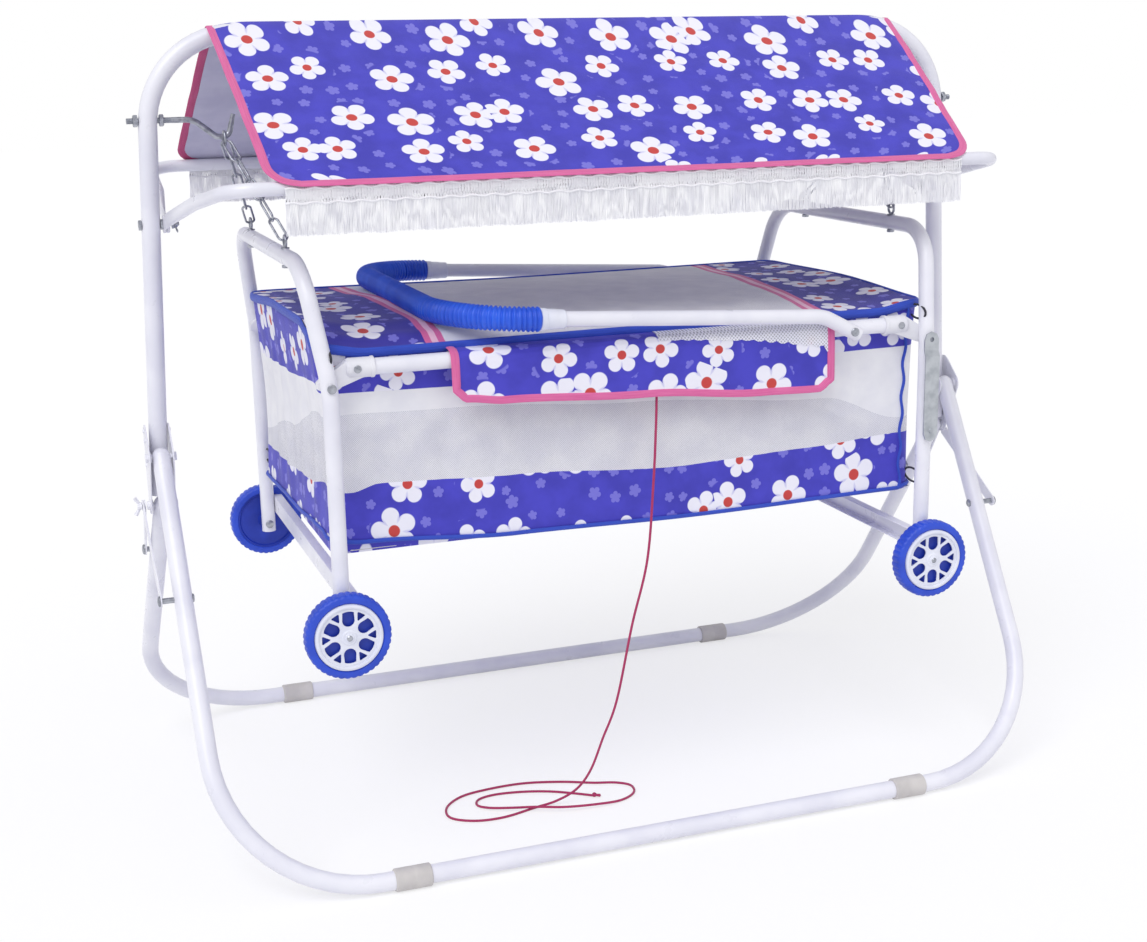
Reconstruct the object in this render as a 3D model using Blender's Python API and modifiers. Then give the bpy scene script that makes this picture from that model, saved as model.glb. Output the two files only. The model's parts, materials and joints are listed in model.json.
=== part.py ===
"""A folding baby cradle, modelled in metres with +Z up and its origin on the floor under its centre.

A basket on four wheels hangs by two pairs of chains from a folding tube stand. Two cloth canopy
halves are stretched over the stand's ridge. The length runs along X and the front is at -Y.
"""
import math

import bmesh
import bpy
from mathutils import Matrix, Vector

# Fits shared by all the pieces
CLEARANCE = 0.0003
RUNNING_GAP = 0.0006
WELD_DEPTH = 0.0004
CUT_OVERRUN = 0.004
WELD_DISTANCE = 0.00001

# Stand tubes
STAND_TUBE_RADIUS = 0.0127
POST_FOOT_X = 0.628
POST_HOOK_X = 0.608
FRONT_PIVOT_Z = 0.543
FRONT_PIVOT_Y = 0.030
REAR_PIVOT_Z = 0.468
RIDGE_Z = 1.113
HOOK_ROD_DROP = 0.113
CANOPY_BOLT_DROP = 0.252
POST_BEND_RADIUS = 0.125
RIDGE_JOINT_X = 0.46

# Leg loops on the floor
FLOOR_BAR_Y = 0.364
FRONT_FLOOR_X = 0.6165
REAR_FLOOR_X = 0.651
LEG_BEND_RADIUS = 0.205
FRONT_JOINT_X = 0.377
REAR_JOINT_X = 0.392
SLEEVE_LENGTH = 0.050
SLEEVE_WALL = 0.0023
FOOT_FLAT_DEPTH = 0.0005

# Hinge plates and bolts
PLATE_THICKNESS = 0.002
PLATE_TOP_Z = 0.569
PLATE_EDGE = 0.003
PIVOT_BOLT_RADIUS = 0.004
BOLT_HEAD_RADIUS = 0.0065
BOLT_HEAD_HEIGHT = 0.004
RIVET_RADIUS = 0.0042
RIVET_HEIGHT = 0.0018
WASHER_RADIUS = 0.008

# Spreader stays
STAY_THICKNESS = 0.002
STAY_HALF_WIDTH = 0.0085
STAY_BOLT_RADIUS = 0.003
FRONT_STAY_REACH = 0.206
REAR_STAY_REACH = 0.106
STAY_LOCK_Y = 0.020
STAY_LOCK_Z = 0.463
NOTCH_PLAY = 0.0006
NOTCH_MOUTH = 0.0062
NOTCH_LEAN = 0.0024
WING_HUB_RADIUS = 0.0055
WING_HUB_HEIGHT = 0.006
WING_SPAN = 0.0125
WING_RISE = 0.009
WING_THICKNESS = 0.0022

# Hook rods
HOOK_ROD_RADIUS = 0.004
HOOK_ROD_END_X = 0.636
HOOK_STRAIGHT_X = 0.548
HOOK_SEAT_X = 0.507
HOOK_SEAT_DROP = 0.024
HOOK_BEND_RADIUS = 0.010
HOOK_TIP_X = 0.493
HOOK_TIP_RISE = 0.006
HOOK_NUT_RADIUS = 0.0085
HOOK_NUT_HEIGHT = 0.006
HOOK_NUT_SETBACK = 0.0024

# Canopy frame tubes
CANOPY_TUBE_RADIUS = 0.009
FRONT_CANOPY_CORNER_X = 0.548
REAR_CANOPY_CORNER_X = 0.583
CANOPY_CORNER_RADIUS = 0.045
CANOPY_ARM_RISE = 0.006
CANOPY_ARM_BEND_RADIUS = 0.30
CANOPY_SPACER = 0.003
CANOPY_EYE_RADIUS = 0.012
CANOPY_EYE_THICKNESS = 0.004
CANOPY_TONGUE_REACH = 0.047
CANOPY_TONGUE_RADIUS = 0.0085

# Canopy cloth
CLOTH_WALL = 0.003
CLOTH_RIDGE_HALF = 0.5165
FRONT_HEM_HALF = 0.494
REAR_HEM_HALF = 0.536
CLOTH_HEM_Y = 0.287
CLOTH_HEM_DROP = 0.185
CLOTH_BULGE = 0.004
FRINGE_DROP = 0.062
FRINGE_TOOTH = 0.005

# Basket end frames
BASKET_TUBE_RADIUS = 0.011
END_FRAME_X = 0.436
ARCH_TOP_X = 0.457
LEG_Y = 0.2815
ARCH_KINK_DROP = 0.155
ARCH_SHOULDER_Y = 0.236
HANG_DROP = 0.153
ARCH_BEND_RADIUS = 0.070
ARCH_KINK_RADIUS = 0.18
LEG_FOOT_DROP = 0.490
EYE_BOLT_Y = 0.137
EYE_RING_RADIUS = 0.0075
EYE_WIRE_RADIUS = 0.0019
EYE_NUT_RADIUS = 0.006
EYE_NUT_HEIGHT = 0.004

# Rails, elbows, crossbars
RAIL_Y = 0.262
RAIL_DROP = 0.133
RAIL_END_GAP = 0.030
ELBOW_THICKNESS = 0.016
ELBOW_WALL = 0.0028
ELBOW_SOCKET_REACH = 0.062
ELBOW_DROP = 0.024
RAIL_BOLT_DROP = 0.020
RAIL_BOLT_RADIUS = 0.003
RAIL_BOLT_HEAD_RADIUS = 0.0052
RAIL_BOLT_HEAD_HEIGHT = 0.0030
RAIL_NUT_HEIGHT = 0.0024
CROSSBAR_RISE = 0.043
CROSSBAR_HEIGHT = 0.026
CROSSBAR_DEPTH = 0.014
CROSSBAR_WALL = 0.002
CROSSBAR_OVERHANG = 0.010

# Wheels
WHEEL_Y = 0.308
WHEEL_RISE = 0.013
WHEEL_RADIUS = 0.0575
TYRE_WIDTH = 0.024
TYRE_DEPTH = 0.0115
TYRE_ROUND = 0.004
HUB_WIDTH = 0.014
HUB_RIM_DEPTH = 0.0075
HUB_BOSS_RADIUS = 0.0105
HUB_BOSS_WIDTH = 0.0225
HUB_SPOKE_WIDTH = 0.0036
HUB_WINDOW_DEPTH = 0.0115
AXLE_RADIUS = 0.004
AXLE_CAP_RADIUS = 0.0075
AXLE_CAP_HEIGHT = 0.0035

# Chains
RING_RADIUS = 0.0092
RING_WIRE_RADIUS = 0.0020
LINK_WIRE_RADIUS = 0.0018
LINK_HALF_WIDTH = 0.0062
LINKS_PER_CHAIN = 5
LINK_SINK_SHARE = 0.74

# Push handle
HANDLE_TUBE_RADIUS = 0.0105
HANDLE_PIVOT_X = 0.310
HANDLE_LINE_RISE = 0.021
HANDLE_KNEE = 0.045
HANDLE_KNEE_RADIUS = 0.060
HANDLE_REACH = 0.588
HANDLE_BEND_RADIUS = 0.120
HANDLE_TAIL = 0.012
HANDLE_RISE = 0.0359
GRIP_RUN = 0.122
COLLAR_LENGTH = 0.035
COLLAR_RADIUS = 0.0135
GRIP_RADIUS = 0.0168
GRIP_VALLEY_RADIUS = 0.0148
RIB_PITCH = 0.0098
GRIP_BEND_STEPS = 16

# Basket fabric
TUB_TOP_X = 0.447
TUB_FLOOR_X = 0.440
TUB_TOP_RISE = 0.0305
TUB_DEPTH = 0.2845
TUB_WALL = 0.0025
TUB_CORNER_RADIUS = 0.022
COVER_WALL = 0.003
COVER_GAP = 0.0006
COVER_CROWN = 0.0035
FLAP_LEFT_X = -0.268
FLAP_RIGHT_X = 0.284
FLAP_WALL = 0.0025
FLAP_DROP = 0.064
FLAP_CORNER_RADIUS = 0.018
BOARD_THICKNESS = 0.012
BOARD_EDGE_GAP = 0.004

# Swing lock strap
STRAP_THICKNESS = 0.0025
STRAP_HALF_WIDTH = 0.0115
STRAP_JOGGLE = 0.004
STRAP_JOGGLE_DROP = 0.016
STRAP_LENGTH = 0.138
STRAP_WASHER = 0.0010

# Pull cord: its route is a list of places chosen along the loose cord
CORD_DIAMETER = 0.0036
CORD_ROUTE = (
    (0.018, -0.2714, 0.6600), (0.018, -0.2714, 0.6200), (0.014, -0.2770, 0.5700), (0.008, -0.2820, 0.5000),
    (-0.002, -0.2820, 0.3890), (-0.022, -0.2720, 0.2920), (-0.040, -0.2550, 0.1750), (-0.056, -0.2380, 0.1120),
    (-0.070, -0.2240, 0.0600), (-0.087, -0.2090, 0.0260), (-0.115, -0.1980, 0.0070), (-0.150, -0.1990, 0.0024),
    (-0.200, -0.2120, 0.0024), (-0.243, -0.2080, 0.0024), (-0.274, -0.1850, 0.0024), (-0.270, -0.1500, 0.0024),
    (-0.240, -0.1220, 0.0024), (-0.196, -0.1120, 0.0024), (-0.140, -0.1120, 0.0024), (-0.085, -0.1280, 0.0024),
    (-0.040, -0.1500, 0.0024), (-0.008, -0.1620, 0.0024), (0.010, -0.1800, 0.0024), (0.004, -0.2060, 0.0024),
    (-0.024, -0.2240, 0.0030), (-0.066, -0.2290, 0.0060), (-0.112, -0.2240, 0.0078), (-0.150, -0.2080, 0.0078),
    (-0.184, -0.1940, 0.0062), (-0.212, -0.1780, 0.0040), (-0.226, -0.1600, 0.0026), (-0.218, -0.1410, 0.0024),
    (-0.190, -0.1340, 0.0024), (-0.150, -0.1400, 0.0024), (-0.112, -0.1540, 0.0024), (-0.080, -0.1740, 0.0024),
    (-0.054, -0.1930, 0.0024),
)
CORD_POINTS = 60

# Counts of faces
BEND_STEPS = 6
ROUND_SIDES = 8
TUBE_RESOLUTION = 2
TUBE_SIDES = 4 + 2 * TUBE_RESOLUTION
HEX_SIDES = 6
RING_STEPS = 6
LINK_STEPS = 3
WHEEL_STEPS = 18
SPOKES = 6
CLOTH_STEPS_X = 6
CLOTH_STEPS_Y = 4
FRINGE_STEPS = 6

# Sizes that follow from what a piece hangs from or lies against
HOOK_ROD_Z = RIDGE_Z - HOOK_ROD_DROP
CANOPY_BOLT_Z = RIDGE_Z - CANOPY_BOLT_DROP
CLOTH_HEM_Z = RIDGE_Z - CLOTH_HEM_DROP
HOOK_SEAT_Z = HOOK_ROD_Z - HOOK_SEAT_DROP
HOOK_TIP_Z = HOOK_ROD_Z + HOOK_TIP_RISE
ARCH_TOP_Z = HOOK_SEAT_Z - HANG_DROP
ARCH_KINK_Z = ARCH_TOP_Z - ARCH_KINK_DROP
LEG_FOOT_Z = ARCH_TOP_Z - LEG_FOOT_DROP
RAIL_Z = ARCH_TOP_Z - RAIL_DROP
RAIL_BOLT_Z = RAIL_Z - RAIL_BOLT_DROP
CROSSBAR_Z = LEG_FOOT_Z + CROSSBAR_RISE
WHEEL_Z = LEG_FOOT_Z + WHEEL_RISE
TUB_TOP_Z = RAIL_Z + TUB_TOP_RISE
TUB_FLOOR_Z = TUB_TOP_Z - TUB_DEPTH
FLAP_BOTTOM_Z = RAIL_Z - FLAP_DROP
GRIP_START = HANDLE_REACH - GRIP_RUN
SOCKET_RADIUS = BASKET_TUBE_RADIUS + CLEARANCE + ELBOW_WALL
TUB_Y = RAIL_Y - SOCKET_RADIUS - CLEARANCE
FLAP_FACE_Y = RAIL_Y + BASKET_TUBE_RADIUS + RUNNING_GAP
HANDLE_Y = FLAP_FACE_Y + FLAP_WALL + RUNNING_GAP + HANDLE_TUBE_RADIUS
GRIP_BORE_RADIUS = (HANDLE_TUBE_RADIUS + CLEARANCE) / math.cos(math.pi / TUBE_SIDES)

LEFT, RIGHT = -1, 1
FRONT, REAR = -1, 1
SIDES = {"left": LEFT, "right": RIGHT}
ENDS = {"front": FRONT, "rear": REAR}
X_AXIS, Y_AXIS, Z_AXIS = Vector((1, 0, 0)), Vector((0, 1, 0)), Vector((0, 0, 1))

FINISHES = {
    "white_coat": ((0.86, 0.86, 0.90), 0.32, 0.0),
    "sleeve_plastic": ((0.72, 0.70, 0.66), 0.50, 0.0),
    "elbow_plastic": ((0.88, 0.88, 0.87), 0.42, 0.0),
    "grey_steel": ((0.52, 0.54, 0.55), 0.35, 0.7),
    "chain_steel": ((0.60, 0.60, 0.62), 0.28, 1.0),
    "blue_plastic": ((0.03, 0.08, 0.62), 0.38, 0.0),
    "hub_plastic": ((0.85, 0.86, 0.88), 0.40, 0.0),
    "print_cloth": ((0.07, 0.06, 0.50), 0.70, 0.0),
    "net_cloth": ((0.75, 0.76, 0.80), 0.85, 0.0),
    "board": ((0.80, 0.80, 0.82), 0.75, 0.0),
    "cord_red": ((0.55, 0.03, 0.15), 0.70, 0.0),
}


def clear_scene():
    """Remove what a new file holds."""
    for thing in list(bpy.data.objects):
        bpy.data.objects.remove(thing, do_unlink=True)


def make_finishes():
    """One Principled material for each finish."""
    made = {}
    for name, (colour, roughness, metallic) in FINISHES.items():
        material = bpy.data.materials.new(name)
        material.use_nodes = True
        shader = material.node_tree.nodes["Principled BSDF"]
        shader.inputs["Base Color"].default_value = (*colour, 1.0)
        shader.inputs["Roughness"].default_value = roughness
        shader.inputs["Metallic"].default_value = metallic
        made[name] = material
    return made


clear_scene()
CRADLE = bpy.data.collections.new("baby_cradle")
bpy.context.scene.collection.children.link(CRADLE)
MATERIALS = make_finishes()


def link(name, data):
    """A new object in the cradle's collection."""
    thing = bpy.data.objects.new(name, data)
    CRADLE.objects.link(thing)
    return thing


def as_mesh(thing):
    """The object's evaluated shape as a welded mesh object of the same name and place."""
    bpy.context.view_layer.update()
    graph = bpy.context.evaluated_depsgraph_get()
    mesh = bpy.data.meshes.new_from_object(thing.evaluated_get(graph))
    work = bmesh.new()
    work.from_mesh(mesh)
    bmesh.ops.remove_doubles(work, verts=work.verts, dist=WELD_DISTANCE)
    bmesh.ops.recalc_face_normals(work, faces=work.faces)
    work.to_mesh(mesh)
    work.free()
    name, place = thing.name, thing.matrix_world.copy()
    bpy.data.objects.remove(thing, do_unlink=True)
    solid = link(name, mesh)
    solid.matrix_world = place
    return solid


def combine(body, tools, operation="UNION"):
    """Join the tools to the body, or cut them from it, and remove them."""
    for tool in tools:
        cut = body.modifiers.new(operation.lower(), "BOOLEAN")
        cut.operation = operation
        cut.object = tool
        body = as_mesh(body)
        bpy.data.objects.remove(tool, do_unlink=True)
    return body


def finish(thing, finish_name, origin=None, smooth_deg=35.0):
    """Give the piece its material, smooth round faces and, for a moving piece, an origin on its joint's axis."""
    thing.data.materials.clear()
    thing.data.materials.append(MATERIALS[finish_name])
    if thing.type == "MESH":
        thing.data.shade_smooth()
        thing.data.set_sharp_from_angle(angle=math.radians(smooth_deg))
    if origin is not None:
        thing.data.transform(Matrix.Translation(-Vector(origin)))
        thing.location = origin
    return thing


def rounded_path(corners, radii, steps=BEND_STEPS):
    """Points along straight runs between the corners, with an arc of the given radius at each inner one."""
    corners = [Vector(c) for c in corners]
    points = [corners[0]]
    for before, corner, after, radius in zip(corners, corners[1:], corners[2:], radii):
        into = (corner - before).normalized()
        away = (after - corner).normalized()
        turn = into.angle(away)
        inward = (away - into * into.dot(away)).normalized()
        start = corner - into * radius * math.tan(turn / 2)
        for step in range(steps + 1):
            angle = turn * step / steps
            points.append(start + into * radius * math.sin(angle) + inward * radius * (1 - math.cos(angle)))
    points.append(corners[-1])
    return points


def tube(name, points, radius, shares=None, resolution=TUBE_RESOLUTION, closed=False):
    """A round bar along the points, with flat caps; shares scale the radius point by point."""
    curve = bpy.data.curves.new(name, "CURVE")
    curve.dimensions = "3D"
    curve.bevel_depth = radius
    curve.bevel_resolution = resolution
    curve.use_fill_caps = not closed
    spline = curve.splines.new("POLY")
    spline.points.add(len(points) - 1)
    for index, place in enumerate(points):
        spline.points[index].co = (*place, 1)
        spline.points[index].radius = shares[index] if shares else 1
    spline.use_cyclic_u = closed
    return link(name, curve)


def rod(name, start, end, radius, sides=ROUND_SIDES, end_radius=None):
    """A cylinder, cone or hexagonal bar between two points."""
    start, end = Vector(start), Vector(end)
    length = (end - start).length
    turn = Z_AXIS.rotation_difference(end - start).to_matrix().to_4x4()
    place = Matrix.Translation((start + end) / 2) @ turn
    work = bmesh.new()
    bmesh.ops.create_cone(
        work, cap_ends=True, segments=sides, radius1=radius,
        radius2=radius if end_radius is None else end_radius, depth=length, matrix=place,
    )
    mesh = bpy.data.meshes.new(name)
    work.to_mesh(mesh)
    work.free()
    return link(name, mesh)


def hull_outline(circles, steps=4):
    """The rounded outline round circles (across, up, radius) that are given counter-clockwise."""
    points = []
    count = len(circles)
    for index, (across, up, radius) in enumerate(circles):
        normals = []
        for first, second in ((circles[index - 1], circles[index]), (circles[index], circles[(index + 1) % count])):
            along = Vector((second[0] - first[0], second[1] - first[1]))
            lean = math.asin((first[2] - second[2]) / along.length)
            normals.append(math.atan2(along.y, along.x) - math.pi / 2 + lean)
        sweep = (normals[1] - normals[0]) % (2 * math.pi)
        for step in range(steps + 1):
            angle = normals[0] + sweep * step / steps
            points.append((across + radius * math.cos(angle), up + radius * math.sin(angle)))
    return points


def bored(radius):
    """Corner radius of a bore whose flats clear a bolt of the given radius as it turns."""
    return (radius + CLEARANCE) / math.cos(math.pi / ROUND_SIDES)


def ring_outline(across, up, radius, sides=ROUND_SIDES):
    """A circle as an outline."""
    turns = [2 * math.pi * step / sides for step in range(sides)]
    return [(across + radius * math.cos(turn), up + radius * math.sin(turn)) for turn in turns]


def facing_x(x):
    """Place an outline drawn in Y and Z at this X."""
    return Matrix(((0, 0, 1, x), (1, 0, 0, 0), (0, 1, 0, 0), (0, 0, 0, 1)))


def facing_y(y):
    """Place an outline drawn in X and Z at this Y."""
    return Matrix(((1, 0, 0, 0), (0, 0, -1, y), (0, 1, 0, 0), (0, 0, 0, 1)))


def plate(name, outlines, thickness, place):
    """A flat plate from its outline and holes, half its thickness to each side of its plane."""
    curve = bpy.data.curves.new(name, "CURVE")
    curve.dimensions = "2D"
    curve.fill_mode = "BOTH"
    curve.extrude = thickness / 2
    for outline in outlines:
        spline = curve.splines.new("POLY")
        spline.points.add(len(outline) - 1)
        for index, (across, up) in enumerate(outline):
            spline.points[index].co = (across, up, 0, 1)
        spline.use_cyclic_u = True
    flat = link(name, curve)
    flat.matrix_world = place
    solid = as_mesh(flat)
    solid.data.transform(solid.matrix_world)
    solid.matrix_world = Matrix.Identity(4)
    return solid


def turned_y(name, profile, place, steps):
    """A ring turned about the Y axis from a closed profile of (radius, along Y) points."""
    work = bmesh.new()
    loop = [work.verts.new((radius, along, 0)) for radius, along in profile]
    edges = [work.edges.new((loop[index - 1], loop[index])) for index in range(len(loop))]
    bmesh.ops.spin(
        work, geom=loop + edges, axis=Y_AXIS, cent=(0, 0, 0), steps=steps, angle=2 * math.pi, use_merge=True,
    )
    bmesh.ops.remove_doubles(work, verts=work.verts, dist=WELD_DISTANCE)
    bmesh.ops.recalc_face_normals(work, faces=work.faces)
    bmesh.ops.translate(work, verts=work.verts, vec=place)
    mesh = bpy.data.meshes.new(name)
    work.to_mesh(mesh)
    work.free()
    return link(name, mesh)


def post_x(z):
    """Distance of a leaning post's axis from the middle at a height."""
    share = (z - FRONT_PIVOT_Z) / (HOOK_ROD_Z - FRONT_PIVOT_Z)
    return POST_FOOT_X + (POST_HOOK_X - POST_FOOT_X) * share


SLEEVE_SIDES = 2 * ROUND_SIDES
SLEEVE_BORE = (STAND_TUBE_RADIUS + CLEARANCE) / math.cos(math.pi / SLEEVE_SIDES)
SLEEVE_RADIUS = SLEEVE_BORE + SLEEVE_WALL
FLOOR_BAR_Z = SLEEVE_RADIUS - FOOT_FLAT_DEPTH
POST_END_Z = REAR_PIVOT_Z + STAND_TUBE_RADIUS + RUNNING_GAP * 3
LEG_TOP_X = POST_FOOT_X
PLATE_INNER_FACE = post_x(PLATE_TOP_Z + STAND_TUBE_RADIUS) - STAND_TUBE_RADIUS - CLEARANCE
PLATE_OUTER_FACE = post_x(POST_END_Z) + STAND_TUBE_RADIUS + CLEARANCE
REAR_STAY_FACE = PLATE_OUTER_FACE + PLATE_THICKNESS + BOLT_HEAD_HEIGHT + RUNNING_GAP
FRONT_STAY_FACE = REAR_STAY_FACE + STAY_THICKNESS + RUNNING_GAP


def leg_point(end, reach):
    """The place (x, y, z) on a leg's axis at a distance below its pivot."""
    pivot, corner = leg_pivot(end), leg_corner(end)
    return pivot + (corner - pivot).normalized() * reach


def leg_pivot(end):
    """Top pivot of a leg on the right side."""
    if end == FRONT:
        return Vector((LEG_TOP_X, -FRONT_PIVOT_Y, FRONT_PIVOT_Z))
    return Vector((LEG_TOP_X, 0, REAR_PIVOT_Z))


def floor_joint_x(end):
    """Distance of a loop's floor joints from the middle."""
    return FRONT_JOINT_X if end == FRONT else REAR_JOINT_X


def leg_corner(end):
    """Where a right leg's axis would meet the floor bar's."""
    span = FRONT_FLOOR_X if end == FRONT else REAR_FLOOR_X
    return Vector((span, end * FLOOR_BAR_Y, FLOOR_BAR_Z))


def on_side(side, place):
    """A place given for the right side, moved to either side."""
    return Vector((side * place[0], place[1], place[2]))


def build_post(side_name, side):
    """A post with its top bend, drilled for the hook rod and the canopy bolt."""
    shoulder = post_x(RIDGE_Z)
    corners = [
        (side * post_x(POST_END_Z), 0, POST_END_Z),
        (side * shoulder, 0, RIDGE_Z),
        (side * (RIDGE_JOINT_X + CLEARANCE), 0, RIDGE_Z),
    ]
    post = as_mesh(tube(f"{side_name}_post", rounded_path(corners, [POST_BEND_RADIUS], BEND_STEPS + 1),
                        STAND_TUBE_RADIUS))
    drills = []
    for height, radius in ((HOOK_ROD_Z, HOOK_ROD_RADIUS), (CANOPY_BOLT_Z, PIVOT_BOLT_RADIUS)):
        reach = STAND_TUBE_RADIUS + CUT_OVERRUN
        middle = Vector((side * post_x(height), 0, height))
        drills.append(rod("drill", middle - X_AXIS * reach, middle + X_AXIS * reach, bored(radius)))
    return finish(combine(post, drills, "DIFFERENCE"), "white_coat")


def build_ridge():
    """The tube between the posts' bends."""
    ridge = tube("ridge_tube", [(-RIDGE_JOINT_X, 0, RIDGE_Z), (RIDGE_JOINT_X, 0, RIDGE_Z)], STAND_TUBE_RADIUS)
    return finish(as_mesh(ridge), "white_coat")


def build_leg(side_name, side, end_name, end):
    """A bent leg: domed top, straight run, large bend to the floor joint, and its stay bolt."""
    pivot, corner = leg_pivot(end), leg_corner(end)
    up = (pivot - corner).normalized()
    dome_shares = ((1.0, 0.12), (0.88, 0.55), (0.55, 0.86))
    top = [pivot + up * STAND_TUBE_RADIUS * reach for reach, _ in dome_shares]
    run = rounded_path([pivot, corner, (floor_joint_x(end) + CLEARANCE, corner.y, corner.z)],
                       [LEG_BEND_RADIUS], BEND_STEPS + 1)
    points = [on_side(side, place) for place in top + run]
    shares = [share for _, share in dome_shares] + [1.0] * len(run)
    leg = as_mesh(tube(f"{end_name}_leg_{side_name}", points, STAND_TUBE_RADIUS, shares))

    reach = STAND_TUBE_RADIUS + CUT_OVERRUN
    drill = rod("drill", on_side(side, pivot) - X_AXIS * reach, on_side(side, pivot) + X_AXIS * reach,
                bored(PIVOT_BOLT_RADIUS))
    leg = combine(leg, [drill], "DIFFERENCE")

    stay_reach = FRONT_STAY_REACH if end == FRONT else REAR_STAY_REACH
    stay_face = FRONT_STAY_FACE if end == FRONT else REAR_STAY_FACE
    seat = leg_point(end, stay_reach)
    shoulder_x = stay_face - RUNNING_GAP / 2
    cap_x = stay_face + STAY_THICKNESS + RUNNING_GAP / 2
    head_x = cap_x + RIVET_HEIGHT

    def at(x):
        return (side * x, seat.y, seat.z)

    bolt = [
        rod("spacer", at(seat.x), at(shoulder_x), BOLT_HEAD_RADIUS),
        rod("shank", at(seat.x), at(cap_x + WELD_DEPTH), STAY_BOLT_RADIUS),
        rod("head", at(cap_x), at(head_x), BOLT_HEAD_RADIUS, HEX_SIDES),
        rod("inner_head", at(seat.x), at(seat.x - STAND_TUBE_RADIUS - RIVET_HEIGHT), RIVET_RADIUS, HEX_SIDES),
    ]
    return finish(combine(leg, bolt), "white_coat", on_side(side, pivot))


def build_floor_bar(end_name, end):
    """The straight tube on the floor between the two legs of a loop."""
    y, half = end * FLOOR_BAR_Y, floor_joint_x(end)
    bar = tube(f"{end_name}_floor_bar", [(-half, y, FLOOR_BAR_Z), (half, y, FLOOR_BAR_Z)],
               STAND_TUBE_RADIUS)
    return finish(as_mesh(bar), "white_coat", (0, leg_pivot(end).y, leg_pivot(end).z))


def build_sleeve(side_name, side, end_name, end):
    """A plastic sleeve over a floor joint, cut flat underneath where the cradle stands on it."""
    half = SLEEVE_LENGTH / 2
    middle = Vector((side * floor_joint_x(end), end * FLOOR_BAR_Y, FLOOR_BAR_Z))
    sleeve = rod(f"{end_name}_sleeve_{side_name}", middle - X_AXIS * half, middle + X_AXIS * half,
                 SLEEVE_RADIUS, SLEEVE_SIDES)
    reach = half + CUT_OVERRUN
    bore = rod("bore", middle - X_AXIS * reach, middle + X_AXIS * reach, SLEEVE_BORE, SLEEVE_SIDES)
    below = plate("below", [[
        (middle.x - reach, -SLEEVE_RADIUS), (middle.x + reach, -SLEEVE_RADIUS), (middle.x + reach, 0),
        (middle.x - reach, 0),
    ]], 2 * reach, facing_y(middle.y))
    sleeve = combine(sleeve, [bore, below], "DIFFERENCE")
    return finish(sleeve, "sleeve_plastic", on_side(side, leg_pivot(end)))


def plate_outline():
    """Outline of a hinge plate in Y and Z: it holds the post's foot and both leg pivots."""
    edge = STAND_TUBE_RADIUS + PLATE_EDGE
    return hull_outline([
        (0, REAR_PIVOT_Z, edge - PLATE_EDGE), (0, PLATE_TOP_Z, edge), (-FRONT_PIVOT_Y, FRONT_PIVOT_Z, edge),
    ])


def post_rivets():
    """Places (y, z) of the rivets that fix a plate to the post."""
    top = PLATE_TOP_Z + STAND_TUBE_RADIUS / 2
    return [(0, top), (-RIVET_RADIUS, top - STAND_TUBE_RADIUS), (0, FRONT_PIVOT_Z - STAND_TUBE_RADIUS * 1.3)]


def build_outer_plate(side_name, side):
    """The outer hinge plate with its rivets and the two pivot bolts that run to the inner plate."""
    middle = PLATE_OUTER_FACE + PLATE_THICKNESS / 2
    outer = plate(f"{side_name}_hinge_plate_outer", [plate_outline()], PLATE_THICKNESS, facing_x(side * middle))
    face = PLATE_OUTER_FACE + PLATE_THICKNESS
    inner_face = PLATE_INNER_FACE - PLATE_THICKNESS - RUNNING_GAP / 2
    tools = []
    for y, z in post_rivets():
        tools.append(rod("rivet", (side * middle, y, z), (side * (face + RIVET_HEIGHT), y, z),
                         RIVET_RADIUS, ROUND_SIDES - 2, RIVET_RADIUS * 0.7))
    for pivot in (leg_pivot(FRONT), leg_pivot(REAR)):
        def at(x):
            return (side * x, pivot.y, pivot.z)
        washer_end = LEG_TOP_X + STAND_TUBE_RADIUS + RUNNING_GAP
        tools.append(rod("washer", at(middle), at(washer_end), WASHER_RADIUS))
        tools.append(rod("head", at(middle), at(face + BOLT_HEAD_HEIGHT), BOLT_HEAD_RADIUS, HEX_SIDES))
        tools.append(rod("shank", at(middle), at(inner_face - WELD_DEPTH), PIVOT_BOLT_RADIUS))
        tools.append(rod("nut", at(inner_face), at(inner_face - BOLT_HEAD_HEIGHT), BOLT_HEAD_RADIUS, HEX_SIDES))
    return finish(combine(outer, tools), "white_coat")


def build_inner_plate(side_name, side):
    """The inner hinge plate, drilled for the pivot bolts."""
    middle = PLATE_INNER_FACE - PLATE_THICKNESS / 2
    holes = [ring_outline(p.y, p.z, bored(PIVOT_BOLT_RADIUS)) for p in (leg_pivot(FRONT), leg_pivot(REAR))]
    inner = plate(f"{side_name}_hinge_plate_inner", [plate_outline()] + holes, PLATE_THICKNESS,
                  facing_x(side * middle))
    face = PLATE_INNER_FACE - PLATE_THICKNESS
    rivets = [
        rod("rivet", (side * middle, y, z), (side * (face - RIVET_HEIGHT), y, z), RIVET_RADIUS, ROUND_SIDES - 2,
            RIVET_RADIUS * 0.7)
        for y, z in post_rivets()
    ]
    return finish(combine(inner, rivets), "white_coat")


def wing_nut(start, along):
    """A wing nut's hub and two wings on a bolt, from its face outwards."""
    start, along = Vector(start), Vector(along)
    across = Z_AXIS
    hub_end = start + along * WING_HUB_HEIGHT
    parts = [rod("hub", start, hub_end, WING_HUB_RADIUS, ROUND_SIDES, WING_HUB_RADIUS * 0.8)]
    for turn in (-1, 1):
        root = start + along * (WING_HUB_HEIGHT * 0.45) + across * turn * (WING_HUB_RADIUS * 0.4)
        tip = start + along * WING_RISE + across * turn * WING_SPAN
        parts.append(rod("wing", root, tip, WING_THICKNESS, HEX_SIDES, WING_THICKNESS * 1.5))
    return parts


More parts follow.
